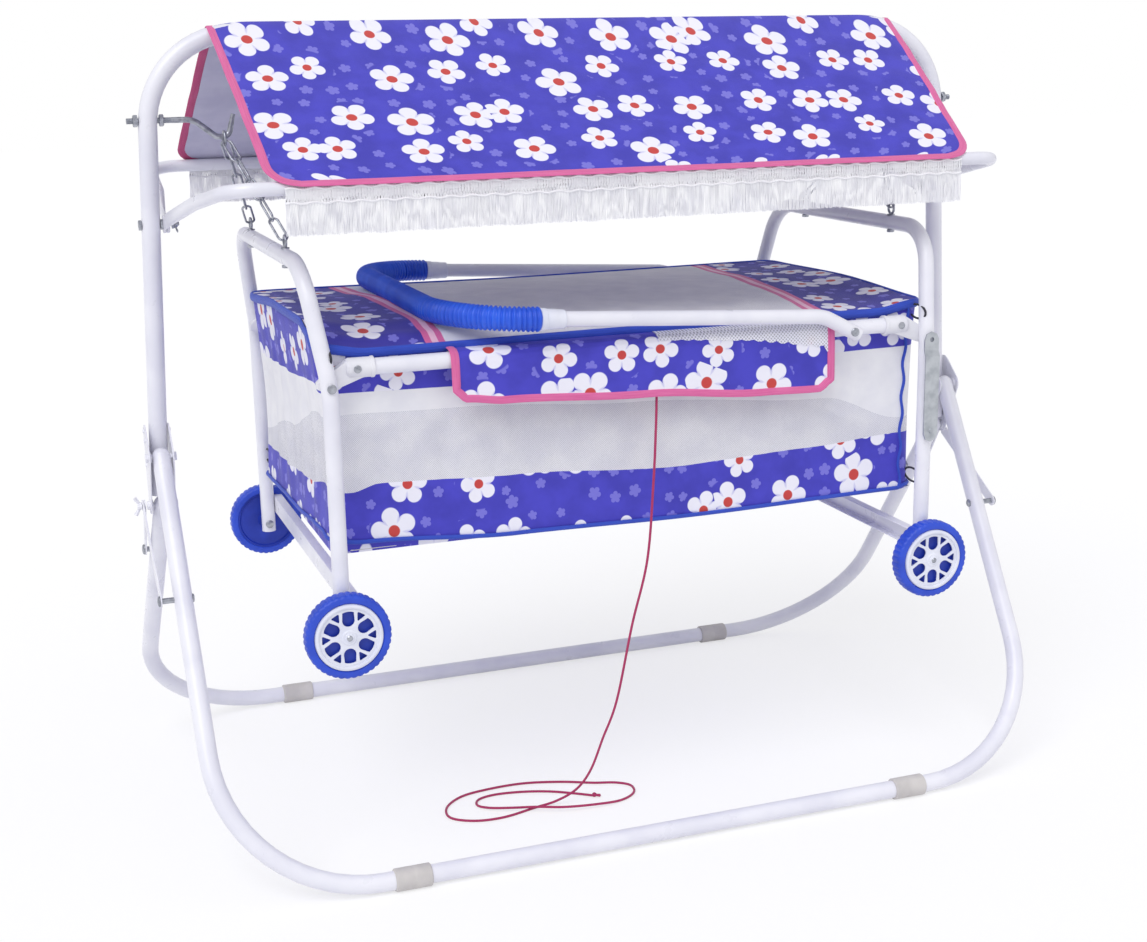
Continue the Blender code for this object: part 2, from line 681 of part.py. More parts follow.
def build_front_stay(side_name, side):
    """The long flat stay on the front leg, notched to drop over the lock bolt."""
    seat = leg_point(FRONT, FRONT_STAY_REACH)
    circles = [(seat.y, seat.z, STAY_HALF_WIDTH), (STAY_LOCK_Y, STAY_LOCK_Z, STAY_HALF_WIDTH)]
    hole = ring_outline(seat.y, seat.z, bored(STAY_BOLT_RADIUS))
    middle = side * (FRONT_STAY_FACE + STAY_THICKNESS / 2)
    stay = plate(f"{side_name}_front_stay", [hull_outline(circles), hole], STAY_THICKNESS, facing_x(middle))
    reach = 2 * STAY_HALF_WIDTH + CUT_OVERRUN
    play = STAY_BOLT_RADIUS + NOTCH_PLAY
    notch = plate("notch", [[
        (STAY_LOCK_Y + play, STAY_LOCK_Z), (STAY_LOCK_Y + play / 2, STAY_LOCK_Z + play),
        (STAY_LOCK_Y - play / 2, STAY_LOCK_Z + play), (STAY_LOCK_Y - play, STAY_LOCK_Z),
        (STAY_LOCK_Y - NOTCH_LEAN - NOTCH_MOUTH, STAY_LOCK_Z - reach),
        (STAY_LOCK_Y - NOTCH_LEAN + NOTCH_MOUTH, STAY_LOCK_Z - reach),
    ]], STAY_THICKNESS + CUT_OVERRUN, facing_x(middle))
    return finish(combine(stay, [notch], "DIFFERENCE"), "white_coat", (middle, seat.y, seat.z))


def build_rear_stay(side_name, side):
    """The short flat stay on the rear leg, which carries the lock bolt and its wing nut."""
    seat = leg_point(REAR, REAR_STAY_REACH)
    circles = [(seat.y, seat.z, STAY_HALF_WIDTH), (STAY_LOCK_Y, STAY_LOCK_Z, STAY_HALF_WIDTH)]
    hole = ring_outline(seat.y, seat.z, bored(STAY_BOLT_RADIUS))
    middle = REAR_STAY_FACE + STAY_THICKNESS / 2
    stay = plate(f"{side_name}_rear_stay", [hull_outline(circles), hole], STAY_THICKNESS, facing_x(side * middle))
    nut_x = FRONT_STAY_FACE + STAY_THICKNESS + RUNNING_GAP
    nut_start = (side * nut_x, STAY_LOCK_Y, STAY_LOCK_Z)
    bolt = rod("bolt", (side * middle, STAY_LOCK_Y, STAY_LOCK_Z),
               (side * (nut_x + WING_HUB_HEIGHT), STAY_LOCK_Y, STAY_LOCK_Z), STAY_BOLT_RADIUS)
    stay = combine(stay, [bolt] + wing_nut(nut_start, X_AXIS * side))
    return finish(stay, "white_coat", (side * middle, seat.y, seat.z))


def build_hook_rod(side_name, side):
    """The steel rod through a post, nutted on both sides, with its inner end bent up to an open hook."""
    corners = [
        (side * HOOK_ROD_END_X, 0, HOOK_ROD_Z), (side * HOOK_STRAIGHT_X, 0, HOOK_ROD_Z),
        (side * (HOOK_SEAT_X + HOOK_BEND_RADIUS), 0, HOOK_SEAT_Z),
        (side * (HOOK_SEAT_X - HOOK_BEND_RADIUS * 0.6), 0, HOOK_SEAT_Z),
        (side * HOOK_TIP_X, 0, HOOK_TIP_Z),
    ]
    radii = [HOOK_BEND_RADIUS * 3, HOOK_BEND_RADIUS, HOOK_BEND_RADIUS]
    hook = as_mesh(tube(f"{side_name}_hook_rod", rounded_path(corners, radii, 4), HOOK_ROD_RADIUS))
    middle = post_x(HOOK_ROD_Z)
    nuts = []
    for face in (middle + STAND_TUBE_RADIUS + RUNNING_GAP, middle - STAND_TUBE_RADIUS - HOOK_NUT_SETBACK):
        away = math.copysign(HOOK_NUT_HEIGHT, face - middle)
        nuts.append(rod("nut", (side * face, 0, HOOK_ROD_Z), (side * (face + away), 0, HOOK_ROD_Z),
                        HOOK_NUT_RADIUS, HEX_SIDES))
    return finish(combine(hook, nuts), "chain_steel")


CANOPY_POST_X = post_x(CANOPY_BOLT_Z)
FRONT_EYE_X = CANOPY_POST_X - STAND_TUBE_RADIUS - CANOPY_SPACER - CANOPY_EYE_THICKNESS / 2
REAR_EYE_X = FRONT_EYE_X - CANOPY_EYE_THICKNESS - RUNNING_GAP
WING_FACE_X = REAR_EYE_X - CANOPY_EYE_THICKNESS / 2 - RUNNING_GAP


def build_canopy_bolt(side_name, side):
    """The bolt through a post on which the canopy frames turn, with its spacer and wing nut."""
    def at(x):
        return (side * x, 0, CANOPY_BOLT_Z)

    outer = CANOPY_POST_X + STAND_TUBE_RADIUS + RUNNING_GAP
    inner = CANOPY_POST_X - STAND_TUBE_RADIUS - RUNNING_GAP
    bolt = rod(f"{side_name}_canopy_bolt", at(outer + WELD_DEPTH), at(WING_FACE_X - WING_HUB_HEIGHT),
               PIVOT_BOLT_RADIUS)
    spacer_end = FRONT_EYE_X + CANOPY_EYE_THICKNESS / 2 + RUNNING_GAP / 2
    parts = [
        rod("head", at(outer), at(outer + BOLT_HEAD_HEIGHT), BOLT_HEAD_RADIUS, HEX_SIDES),
        rod("spacer", at(inner), at(spacer_end), WASHER_RADIUS),
    ]
    return finish(combine(bolt, parts + wing_nut(at(WING_FACE_X), X_AXIS * -side)), "chain_steel")


def cloth_profile(end):
    """The canopy half's middle line from ridge to hem: (y, z) points and the normal at the hem."""
    top = STAND_TUBE_RADIUS + CLEARANCE + RUNNING_GAP + CLOTH_WALL / 2
    hem = Vector((CLOTH_HEM_Y, CLOTH_HEM_Z))
    ridge = Vector((0, RIDGE_Z))
    down = (hem - ridge).normalized()
    normal = Vector((-down.y, down.x))
    if normal.y < 0:
        normal = -normal
    touch_angle = math.atan2(normal.x, normal.y)
    points = []
    for step in range(3):
        angle = touch_angle * step / 3
        points.append(ridge + Vector((math.sin(angle), math.cos(angle))) * top)
    start = ridge + normal * top
    for step in range(CLOTH_STEPS_Y + 1):
        share = step / CLOTH_STEPS_Y
        bulge = 4 * CLOTH_BULGE * share * (1 - share)
        points.append(start.lerp(hem, share) + normal * bulge)
    hem_normal = normal * math.cos(4 * CLOTH_BULGE / (hem - start).length)
    return [(end * y, z) for y, z in points], Vector((end * hem_normal.x, hem_normal.y)).normalized()


def hem_tube_place(end):
    """Where the frame's long tube runs, just inside the cloth above its hem: (y, z)."""
    profile, normal = cloth_profile(end)
    last, before = Vector(profile[-1]), Vector(profile[-2])
    along = (before - last).normalized()
    inward = Vector((along.y, -along.x)) * end
    if inward.y > 0:
        inward = -inward
    reach = CANOPY_TUBE_RADIUS + CLOTH_WALL / 2 + RUNNING_GAP
    return last + inward * reach + along * CANOPY_TUBE_RADIUS * 0.6


def build_canopy_cloth(end_name, end):
    """One half of the canopy: a cloth shell from the ridge to its hem, and the fringe that hangs from it."""
    profile, _ = cloth_profile(end)
    hem_half = FRONT_HEM_HALF if end == FRONT else REAR_HEM_HALF
    gap = end * CLEARANCE
    work = bmesh.new()
    rows = []
    for index, (y, z) in enumerate(profile):
        share = index / (len(profile) - 1)
        half = CLOTH_RIDGE_HALF + (hem_half - CLOTH_RIDGE_HALF) * share
        rows.append([
            work.verts.new((half * (2 * step / CLOTH_STEPS_X - 1), y + gap, z)) for step in range(CLOTH_STEPS_X + 1)
        ])
    for upper, lower in zip(rows, rows[1:]):
        for step in range(CLOTH_STEPS_X):
            work.faces.new((upper[step], lower[step], lower[step + 1], upper[step + 1]))

    count = CLOTH_STEPS_X * FRINGE_STEPS
    tips = []
    for step in range(count + 1):
        z = CLOTH_HEM_Z - FRINGE_DROP + FRINGE_TOOTH * ((step + 1) % 2)
        x = hem_half * (2 * step / count - 1)
        tips.append(work.verts.new((x, end * CLOTH_HEM_Y + gap, z)))
    hem = rows[-1]
    for step in range(CLOTH_STEPS_X):
        first = step * FRINGE_STEPS
        middle = first + FRINGE_STEPS // 2
        for tip in range(first, first + FRINGE_STEPS):
            top = hem[step] if tip < middle else hem[step + 1]
            work.faces.new((top, tips[tip], tips[tip + 1]))
        work.faces.new((hem[step], tips[middle], hem[step + 1]))
    bmesh.ops.recalc_face_normals(work, faces=work.faces)
    mesh = bpy.data.meshes.new("cloth")
    work.to_mesh(mesh)
    work.free()
    cloth = link(f"canopy_cloth_{end_name}", mesh)
    wall = cloth.modifiers.new("wall", "SOLIDIFY")
    wall.thickness = CLOTH_WALL
    wall.offset = 0
    wall.use_even_offset = True
    return finish(as_mesh(cloth), "print_cloth")


def build_canopy_frame(end_name, end):
    """The bent tube under a canopy half, with a flat eye at each post."""
    eye_x = FRONT_EYE_X if end == FRONT else REAR_EYE_X
    run_y, run_z = hem_tube_place(end)
    rise = math.atan2(run_z - CANOPY_BOLT_Z, abs(run_y))

    def arm(reach, lift=0.0):
        y = end * (reach * math.cos(rise) - lift * math.sin(rise))
        return y, CANOPY_BOLT_Z + reach * math.sin(rise) + lift * math.cos(rise)

    length = math.hypot(run_z - CANOPY_BOLT_Z, run_y)
    corner_x = FRONT_CANOPY_CORNER_X if end == FRONT else REAR_CANOPY_CORNER_X
    middle_x = (eye_x + corner_x) / 2
    half_route = [(eye_x, *arm(CANOPY_TONGUE_REACH - CANOPY_TONGUE_RADIUS)),
                  (middle_x, *arm(length / 2, CANOPY_ARM_RISE)), (corner_x, run_y, run_z)]
    route = [on_side(LEFT, place) for place in half_route] + [Vector(place) for place in reversed(half_route)]
    radii = [CANOPY_ARM_BEND_RADIUS, CANOPY_CORNER_RADIUS, CANOPY_CORNER_RADIUS, CANOPY_ARM_BEND_RADIUS]
    frame = as_mesh(tube(f"canopy_frame_{end_name}", rounded_path(route, radii, 3), CANOPY_TUBE_RADIUS))
    tongues = []
    for side in (LEFT, RIGHT):
        far_y, far_z = arm(CANOPY_TONGUE_REACH)
        circles = [(0, CANOPY_BOLT_Z, CANOPY_EYE_RADIUS), (far_y, far_z, CANOPY_TONGUE_RADIUS)]
        hole = ring_outline(0, CANOPY_BOLT_Z, bored(PIVOT_BOLT_RADIUS))
        tongues.append(plate("tongue", [hull_outline(circles), hole], CANOPY_EYE_THICKNESS,
                             facing_x(side * eye_x)))
    return finish(combine(frame, tongues), "white_coat", (0, 0, CANOPY_BOLT_Z))


def ring(name, middle, normal, up, half_length, half_width, wire, steps, resolution=1):
    """A closed round link: two half circles joined by straight sides, in the plane across its normal."""
    across = Vector(normal).cross(up).normalized()
    peak = half_width * math.sin(math.pi / steps * (steps // 2))
    straight = max(half_length - peak, 0.0)
    points = []
    for half in (1, -1):
        for step in range(steps + 1):
            turn = math.pi * step / steps
            point = middle + up * half * (straight + half_width * math.sin(turn))
            points.append(point + across * half * half_width * math.cos(turn))
    if straight == 0:
        points = points[:steps] + points[steps + 1:-1]
    return as_mesh(tube(name, points, wire, resolution=resolution, closed=True))


def eye_bolt(side, y):
    """An eye bolt up through the arch's top, with its nut below."""
    centre = eye_centre(side, math.copysign(1, y))
    eye = ring("eye", centre, X_AXIS, Z_AXIS, EYE_RING_RADIUS, EYE_RING_RADIUS, EYE_WIRE_RADIUS, LINK_STEPS + 1, 0)
    foot = ARCH_TOP_Z - BASKET_TUBE_RADIUS - EYE_NUT_HEIGHT
    return [
        eye,
        rod("shank", (centre.x, y, foot - EYE_NUT_HEIGHT), (centre.x, y, centre.z - EYE_RING_RADIUS),
            EYE_WIRE_RADIUS * 1.2, HEX_SIDES),
        rod("nut", (centre.x, y, foot), (centre.x, y, ARCH_TOP_Z), EYE_NUT_RADIUS, HEX_SIDES),
    ]


def strap_face_y():
    """The plane of the swing lock strap's inner face, just outside the front leg's washer."""
    return LEG_Y + BASKET_TUBE_RADIUS + STRAP_WASHER + RUNNING_GAP


def end_frame_path(side):
    """The middle line of an end frame from its front foot over the arch to its rear foot."""
    x, top_x = side * END_FRAME_X, side * ARCH_TOP_X
    corners = [
        (x, -LEG_Y, LEG_FOOT_Z), (x, -LEG_Y, ARCH_KINK_Z), (top_x, -ARCH_SHOULDER_Y, ARCH_TOP_Z),
        (top_x, ARCH_SHOULDER_Y, ARCH_TOP_Z), (x, LEG_Y, ARCH_KINK_Z), (x, LEG_Y, LEG_FOOT_Z),
    ]
    return rounded_path(corners, [ARCH_KINK_RADIUS, ARCH_BEND_RADIUS, ARCH_BEND_RADIUS, ARCH_KINK_RADIUS], 3)


def build_end_frame(side_name, side):
    """The bent tube at an end of the basket: arch, two legs, stub axles, eye bolts and leg bolts."""
    x = side * END_FRAME_X
    frame = as_mesh(tube(f"{side_name}_end_frame", end_frame_path(side), BASKET_TUBE_RADIUS))
    tools = []
    for end in (FRONT, REAR):
        def at(y, z=RAIL_BOLT_Z):
            return (x, end * y, z)

        surface = LEG_Y + BASKET_TUBE_RADIUS
        strap_here = side == RIGHT and end == FRONT
        head_at = strap_face_y() + STRAP_THICKNESS + RUNNING_GAP / 2 if strap_here else surface
        if strap_here:
            tools.append(rod("washer", at(LEG_Y), at(surface + STRAP_WASHER), RAIL_BOLT_HEAD_RADIUS * 1.5))
        nut_y = RAIL_Y - ELBOW_THICKNESS / 2 - RUNNING_GAP / 2
        tools += [
            rod("shank", at(head_at + WELD_DEPTH), at(nut_y - WELD_DEPTH), RAIL_BOLT_RADIUS),
            rod("head", at(head_at if strap_here else LEG_Y), at(head_at + RAIL_BOLT_HEAD_HEIGHT),
                RAIL_BOLT_HEAD_RADIUS),
            rod("nut", at(nut_y), at(nut_y - RAIL_NUT_HEIGHT), RAIL_BOLT_HEAD_RADIUS, HEX_SIDES),
        ]
        if not strap_here:
            low = RAIL_BOLT_Z - ELBOW_DROP
            tools.append(rod("head", at(LEG_Y, low), at(surface + RAIL_BOLT_HEAD_HEIGHT, low),
                             RAIL_BOLT_HEAD_RADIUS))
        hub_inner = WHEEL_Y - HUB_BOSS_WIDTH / 2 - RUNNING_GAP
        hub_outer = WHEEL_Y + HUB_BOSS_WIDTH / 2 + RUNNING_GAP
        tools += [
            rod("shoulder", at(LEG_Y, WHEEL_Z), at(hub_inner, WHEEL_Z), AXLE_CAP_RADIUS),
            rod("axle", at(LEG_Y, WHEEL_Z), at(hub_outer + WELD_DEPTH, WHEEL_Z), AXLE_RADIUS),
            rod("cap", at(hub_outer, WHEEL_Z), at(hub_outer + AXLE_CAP_HEIGHT, WHEEL_Z), AXLE_CAP_RADIUS,
                ROUND_SIDES, AXLE_CAP_RADIUS * 0.6),
        ]
        tools += eye_bolt(side, end * EYE_BOLT_Y)
    return finish(combine(frame, tools), "white_coat")


def build_rail(end_name, end):
    """A side rail with the pivot bolt that holds the push handle's arm outside it."""
    y = end * RAIL_Y
    half = END_FRAME_X - RAIL_END_GAP
    rail = as_mesh(tube(f"{end_name}_rail", [(-half, y, RAIL_Z), (half, y, RAIL_Z)], BASKET_TUBE_RADIUS))

    def at(distance):
        return (HANDLE_PIVOT_X, end * distance, RAIL_Z)

    head = HANDLE_Y + HANDLE_TUBE_RADIUS + RUNNING_GAP
    parts = [
        rod("shank", at(RAIL_Y), at(head + WELD_DEPTH), RAIL_BOLT_RADIUS),
        rod("spacer", at(RAIL_Y), at(HANDLE_Y - HANDLE_TUBE_RADIUS - RUNNING_GAP), RAIL_BOLT_HEAD_RADIUS),
        rod("head", at(head), at(head + RAIL_BOLT_HEAD_HEIGHT), RAIL_BOLT_HEAD_RADIUS),
    ]
    return finish(combine(rail, parts), "white_coat")


def build_elbow(side_name, side, end_name, end):
    """A plastic elbow bracket: a socket on the rail's end and a gusset bolted to the leg."""
    x = side * END_FRAME_X
    y = end * RAIL_Y
    radius = SOCKET_RADIUS
    socket_start = side * (END_FRAME_X - ELBOW_SOCKET_REACH)
    gusset_start = socket_start + side * radius
    circles = [(gusset_start, RAIL_Z, radius), (x, RAIL_BOLT_Z, ELBOW_THICKNESS / 2), (x, RAIL_Z, radius)]
    if side == LEFT:
        circles = [circles[1], circles[0], circles[2]]
    hole = ring_outline(x, RAIL_BOLT_Z, bored(RAIL_BOLT_RADIUS))
    elbow = plate(f"{end_name}_elbow_{side_name}", [hull_outline(circles), hole], ELBOW_THICKNESS, facing_y(y))
    rail_end = side * (END_FRAME_X - RAIL_END_GAP + CLEARANCE)
    socket = rod("socket", (socket_start, y, RAIL_Z), (rail_end + side * ELBOW_WALL, y, RAIL_Z), radius,
                 ROUND_SIDES + 4)
    elbow = combine(elbow, [socket])
    bore_route = [(socket_start - side * CUT_OVERRUN, y, RAIL_Z), (rail_end, y, RAIL_Z)]
    bore = as_mesh(tube("bore", bore_route, BASKET_TUBE_RADIUS + CLEARANCE))
    saddle = as_mesh(tube("saddle", end_frame_path(side), BASKET_TUBE_RADIUS + CLEARANCE))
    return finish(combine(elbow, [bore, saddle], "DIFFERENCE"), "elbow_plastic")


def build_crossbar(side_name, side):
    """A channel between the front and rear legs of an end, open towards the basket's middle."""
    back = side * (END_FRAME_X - BASKET_TUBE_RADIUS - CLEARANCE)
    lip = back - side * CROSSBAR_DEPTH
    web = back - side * CROSSBAR_WALL
    low, high = CROSSBAR_Z - CROSSBAR_HEIGHT / 2, CROSSBAR_Z + CROSSBAR_HEIGHT / 2
    outline = [
        (back, low), (back, high), (lip, high), (lip, high - CROSSBAR_WALL), (web, high - CROSSBAR_WALL),
        (web, low + CROSSBAR_WALL), (lip, low + CROSSBAR_WALL), (lip, low),
    ]
    length = 2 * (LEG_Y + CROSSBAR_OVERHANG)
    bar = plate(f"{side_name}_crossbar", [outline], length, facing_y(0))
    bolts = []
    for end in (FRONT, REAR):
        bolts.append(rod("nut", (web + side * WELD_DEPTH, end * LEG_Y, CROSSBAR_Z),
                         (web - side * RAIL_BOLT_HEAD_HEIGHT, end * LEG_Y, CROSSBAR_Z), RAIL_BOLT_HEAD_RADIUS,
                         HEX_SIDES))
    return finish(combine(bar, bolts), "white_coat")


def wheel_places():
    """Each wheel's name and middle."""
    for end_name, end in ENDS.items():
        for side_name, side in SIDES.items():
            yield f"{end_name}_{side_name}", end, Vector((side * END_FRAME_X, end * WHEEL_Y, WHEEL_Z))


def build_tyre(name, middle):
    """A tyre ring with rounded shoulders."""
    half = TYRE_WIDTH / 2
    inner = WHEEL_RADIUS - TYRE_DEPTH
    profile = [
        (inner, -half + TYRE_ROUND / 2), (inner, half - TYRE_ROUND / 2), (WHEEL_RADIUS - TYRE_ROUND, half),
        (WHEEL_RADIUS, half - TYRE_ROUND), (WHEEL_RADIUS, -half + TYRE_ROUND), (WHEEL_RADIUS - TYRE_ROUND, -half),
    ]
    return finish(turned_y(f"tyre_{name}", profile, middle, WHEEL_STEPS), "blue_plastic", middle)


def hub_windows(middle):
    """Outlines (x, z) of the large and small windows between the hub's spokes."""
    rim = WHEEL_RADIUS - TYRE_DEPTH - HUB_RIM_DEPTH
    inner = rim - HUB_WINDOW_DEPTH
    spoke_turn = HUB_SPOKE_WIDTH / rim
    half_sector = math.pi / SPOKES
    outlines = []

    def at(radius, turn):
        return (middle.x + radius * math.cos(turn), middle.z + radius * math.sin(turn))

    for spoke in range(SPOKES):
        centre = 2 * math.pi * spoke / SPOKES
        outer_half = half_sector * 0.52 - spoke_turn / 2
        inner_half = half_sector * 0.46
        outlines.append([
            at(rim, centre - outer_half), at(rim, centre), at(rim, centre + outer_half),
            at(inner, centre + inner_half), at(inner, centre - inner_half),
        ])
        between = centre + half_sector
        small_half = half_sector * 0.48 - spoke_turn
        outlines.append([
            at(rim, between - small_half), at(rim, between + small_half), at(rim - HUB_WINDOW_DEPTH * 0.62, between),
        ])
    return outlines


def build_hub(name, end, middle):
    """A moulded wheel hub: a windowed disc with a deeper rim and a boss on its axle."""
    radius = WHEEL_RADIUS - TYRE_DEPTH - CLEARANCE
    disc = plate(f"hub_{name}", [ring_outline(middle.x, middle.z, radius - WELD_DEPTH * 2, WHEEL_STEPS)]
                 + hub_windows(middle), HUB_WIDTH * 0.55, facing_y(middle.y))
    half = HUB_WIDTH / 2 + TYRE_ROUND / 2
    rim_inner = radius - HUB_RIM_DEPTH * 0.7
    profile = [(rim_inner, -half), (rim_inner, half), (radius, half), (radius, -half)]
    rim = turned_y("rim", profile, middle, WHEEL_STEPS)
    boss = rod("boss", middle - Y_AXIS * HUB_BOSS_WIDTH / 2, middle + Y_AXIS * HUB_BOSS_WIDTH / 2,
               HUB_BOSS_RADIUS)
    hub = combine(disc, [rim, boss])
    reach = HUB_BOSS_WIDTH / 2 + CUT_OVERRUN
    bore = rod("bore", middle - Y_AXIS * reach, middle + Y_AXIS * reach, bored(AXLE_RADIUS))
    return finish(combine(hub, [bore], "DIFFERENCE"), "hub_plastic", middle)


def eye_centre(side, end):
    """The middle of an eye bolt's ring."""
    return Vector((side * ARCH_TOP_X, end * EYE_BOLT_Y,
                   ARCH_TOP_Z + BASKET_TUBE_RADIUS + EYE_RING_RADIUS + EYE_WIRE_RADIUS))


def build_chains(side_name, side):
    """A ring on the hook with two chains that spread to the eye bolts."""
    seat_top = HOOK_SEAT_Z + HOOK_ROD_RADIUS + CLEARANCE * 2 + RING_WIRE_RADIUS
    centre = Vector((side * HOOK_SEAT_X, 0, seat_top - RING_RADIUS))
    chain = ring(f"{side_name}_chains", centre, X_AXIS, Z_AXIS, RING_RADIUS, RING_RADIUS, RING_WIRE_RADIUS,
                 RING_STEPS)
    links = []
    for end in (FRONT, REAR):
        eye = eye_centre(side, end)
        toward = (centre - eye) * Vector((0, 1, 1))
        bottom = eye + toward.normalized() * (EYE_RING_RADIUS - EYE_WIRE_RADIUS - LINK_WIRE_RADIUS - 4 * CLEARANCE)
        direction = (bottom - centre).normalized()
        start = centre + direction * (RING_RADIUS - RING_WIRE_RADIUS * LINK_SINK_SHARE)
        pitch = (bottom - start).length / LINKS_PER_CHAIN
        half_length = pitch / 2 + LINK_WIRE_RADIUS * LINK_SINK_SHARE
        level = direction.cross(X_AXIS).normalized()
        upright = direction.cross(level).normalized()
        for number in range(LINKS_PER_CHAIN):
            middle = start + direction * (pitch * (number + 0.5) - LINK_WIRE_RADIUS * LINK_SINK_SHARE)
            normal = level if number % 2 == 0 else upright
            links.append(ring("link", middle, normal, direction, half_length, LINK_HALF_WIDTH, LINK_WIRE_RADIUS,
                              LINK_STEPS, 0))
    return finish(combine(chain, links), "chain_steel")


def handle_place(reach, y):
    """A place on the push handle's plane at a distance from its pivot."""
    tilt = math.asin(HANDLE_RISE / HANDLE_REACH)
    line_z = RAIL_Z + HANDLE_LINE_RISE
    return Vector((HANDLE_PIVOT_X - reach * math.cos(tilt), y, line_z + reach * math.sin(tilt)))


def arm_end(y):
    """An arm's middle line from its end past the pivot bolt to its straight run."""
    pivot, knee = Vector((HANDLE_PIVOT_X, y, RAIL_Z)), handle_place(HANDLE_KNEE, y)
    tail = pivot + (pivot - knee).normalized() * HANDLE_TAIL
    return rounded_path([tail, knee, handle_place(HANDLE_KNEE * 2, y)], [HANDLE_KNEE_RADIUS], 3)[:-1]


def grip_path(steps=BEND_STEPS):
    """The part of the handle's middle line that the grip covers."""
    inner = [
        handle_place(GRIP_START + RUNNING_GAP, -HANDLE_Y), handle_place(HANDLE_REACH, -HANDLE_Y),
        handle_place(HANDLE_REACH, HANDLE_Y), handle_place(GRIP_START + RUNNING_GAP, HANDLE_Y),
    ]
    return rounded_path(inner, [HANDLE_BEND_RADIUS, HANDLE_BEND_RADIUS], steps)


def build_handle():
    """The bent push handle tube, with a collar at each end of the grip and a bolt hole at each end."""
    collar = COLLAR_RADIUS / HANDLE_TUBE_RADIUS
    grip = grip_path()
    points, shares = [], []
    for y, route in ((-HANDLE_Y, 1), (HANDLE_Y, -1)):
        marks = [(place, 1.0) for place in arm_end(y)] + [
            (handle_place(GRIP_START - COLLAR_LENGTH - WELD_DEPTH, y), 1.0),
            (handle_place(GRIP_START - COLLAR_LENGTH, y), collar),
            (handle_place(GRIP_START - RUNNING_GAP, y), collar), (handle_place(GRIP_START, y), 1.0),
        ]
        if route == 1:
            points += [place for place, _ in marks] + grip[1:-1]
            shares += [share for _, share in marks] + [1.0] * len(grip[1:-1])
        else:
            points += [place for place, _ in reversed(marks)]
            shares += [share for _, share in reversed(marks)]
    handle = as_mesh(tube("push_handle", points, HANDLE_TUBE_RADIUS, shares))
    drills = []
    for y in (-HANDLE_Y, HANDLE_Y):
        middle = Vector((HANDLE_PIVOT_X, y, RAIL_Z))
        reach = Y_AXIS * (HANDLE_TUBE_RADIUS + CUT_OVERRUN / 2)
        drills.append(rod("drill", middle - reach, middle + reach, bored(RAIL_BOLT_RADIUS)))
    return finish(combine(handle, drills, "DIFFERENCE"), "white_coat", (HANDLE_PIVOT_X, 0, RAIL_Z))


def build_grip():
    """The ribbed grip hose over the handle's bend, with its bore."""
    places = walk(grip_path(GRIP_BEND_STEPS), RIB_PITCH / 2)
    valley = GRIP_VALLEY_RADIUS / GRIP_RADIUS
    shares = [1.0 if number % 2 else valley for number in range(len(places))]
    grip = as_mesh(tube("handle_grip", places, GRIP_RADIUS, shares))
    bore_path = [handle_place(GRIP_START - CUT_OVERRUN, -HANDLE_Y)] + grip_path()[1:-1]
    bore_path.append(handle_place(GRIP_START - CUT_OVERRUN, HANDLE_Y))
    bore = as_mesh(tube("bore", bore_path, GRIP_BORE_RADIUS))
    return finish(combine(grip, [bore], "DIFFERENCE"), "blue_plastic", (HANDLE_PIVOT_X, 0, RAIL_Z))


def rounded_rectangle(half_x, half_y, radius, steps=3):
    """Corner points of a rectangle with round corners, counter-clockwise."""
    points = []
    for quarter, (sx, sy) in enumerate(((1, 1), (-1, 1), (-1, -1), (1, -1))):
        for step in range(steps + 1):
            turn = math.pi / 2 * (quarter + step / steps)
            points.append((sx * (half_x - radius) + radius * math.cos(turn),
                           sy * (half_y - radius) + radius * math.sin(turn)))
    return points


def build_tub():
    """The fabric tub: four sides and a floor, open at the top."""
    work = bmesh.new()
    rings = []
    for half_x, z in ((TUB_TOP_X, TUB_TOP_Z), (TUB_FLOOR_X, TUB_FLOOR_Z)):
        outline = rounded_rectangle(half_x, TUB_Y, TUB_CORNER_RADIUS)
        rings.append([work.verts.new((x, y, z)) for x, y in outline])
    for index in range(len(rings[0])):
        work.faces.new((rings[0][index - 1], rings[1][index - 1], rings[1][index], rings[0][index]))
    work.faces.new(rings[1])
    bmesh.ops.recalc_face_normals(work, faces=work.faces)
    mesh = bpy.data.meshes.new("tub")
    work.to_mesh(mesh)
    work.free()
    tub = link("fabric_tub", mesh)
    wall = tub.modifiers.new("wall", "SOLIDIFY")
    wall.thickness = TUB_WALL
    wall.offset = -1
    wall.use_even_offset = True
    tub = as_mesh(tub)
    return finish(tub, "print_cloth")


def build_cover():
    """The fabric and net cover over the basket, slightly crowned."""
    low = TUB_TOP_Z + COVER_GAP
    outline = rounded_rectangle(TUB_TOP_X, TUB_Y, TUB_CORNER_RADIUS)
    cover = plate("net_cover", [outline], COVER_WALL, Matrix.Translation((0, 0, low + COVER_WALL / 2)))
    crown = rounded_rectangle(TUB_TOP_X * 0.8, TUB_Y * 0.8, TUB_CORNER_RADIUS)
    height = COVER_WALL + COVER_CROWN
    raised = plate("crown", [crown], height, Matrix.Translation((0, 0, low + height / 2)))
    return finish(combine(cover, [raised]), "net_cloth")


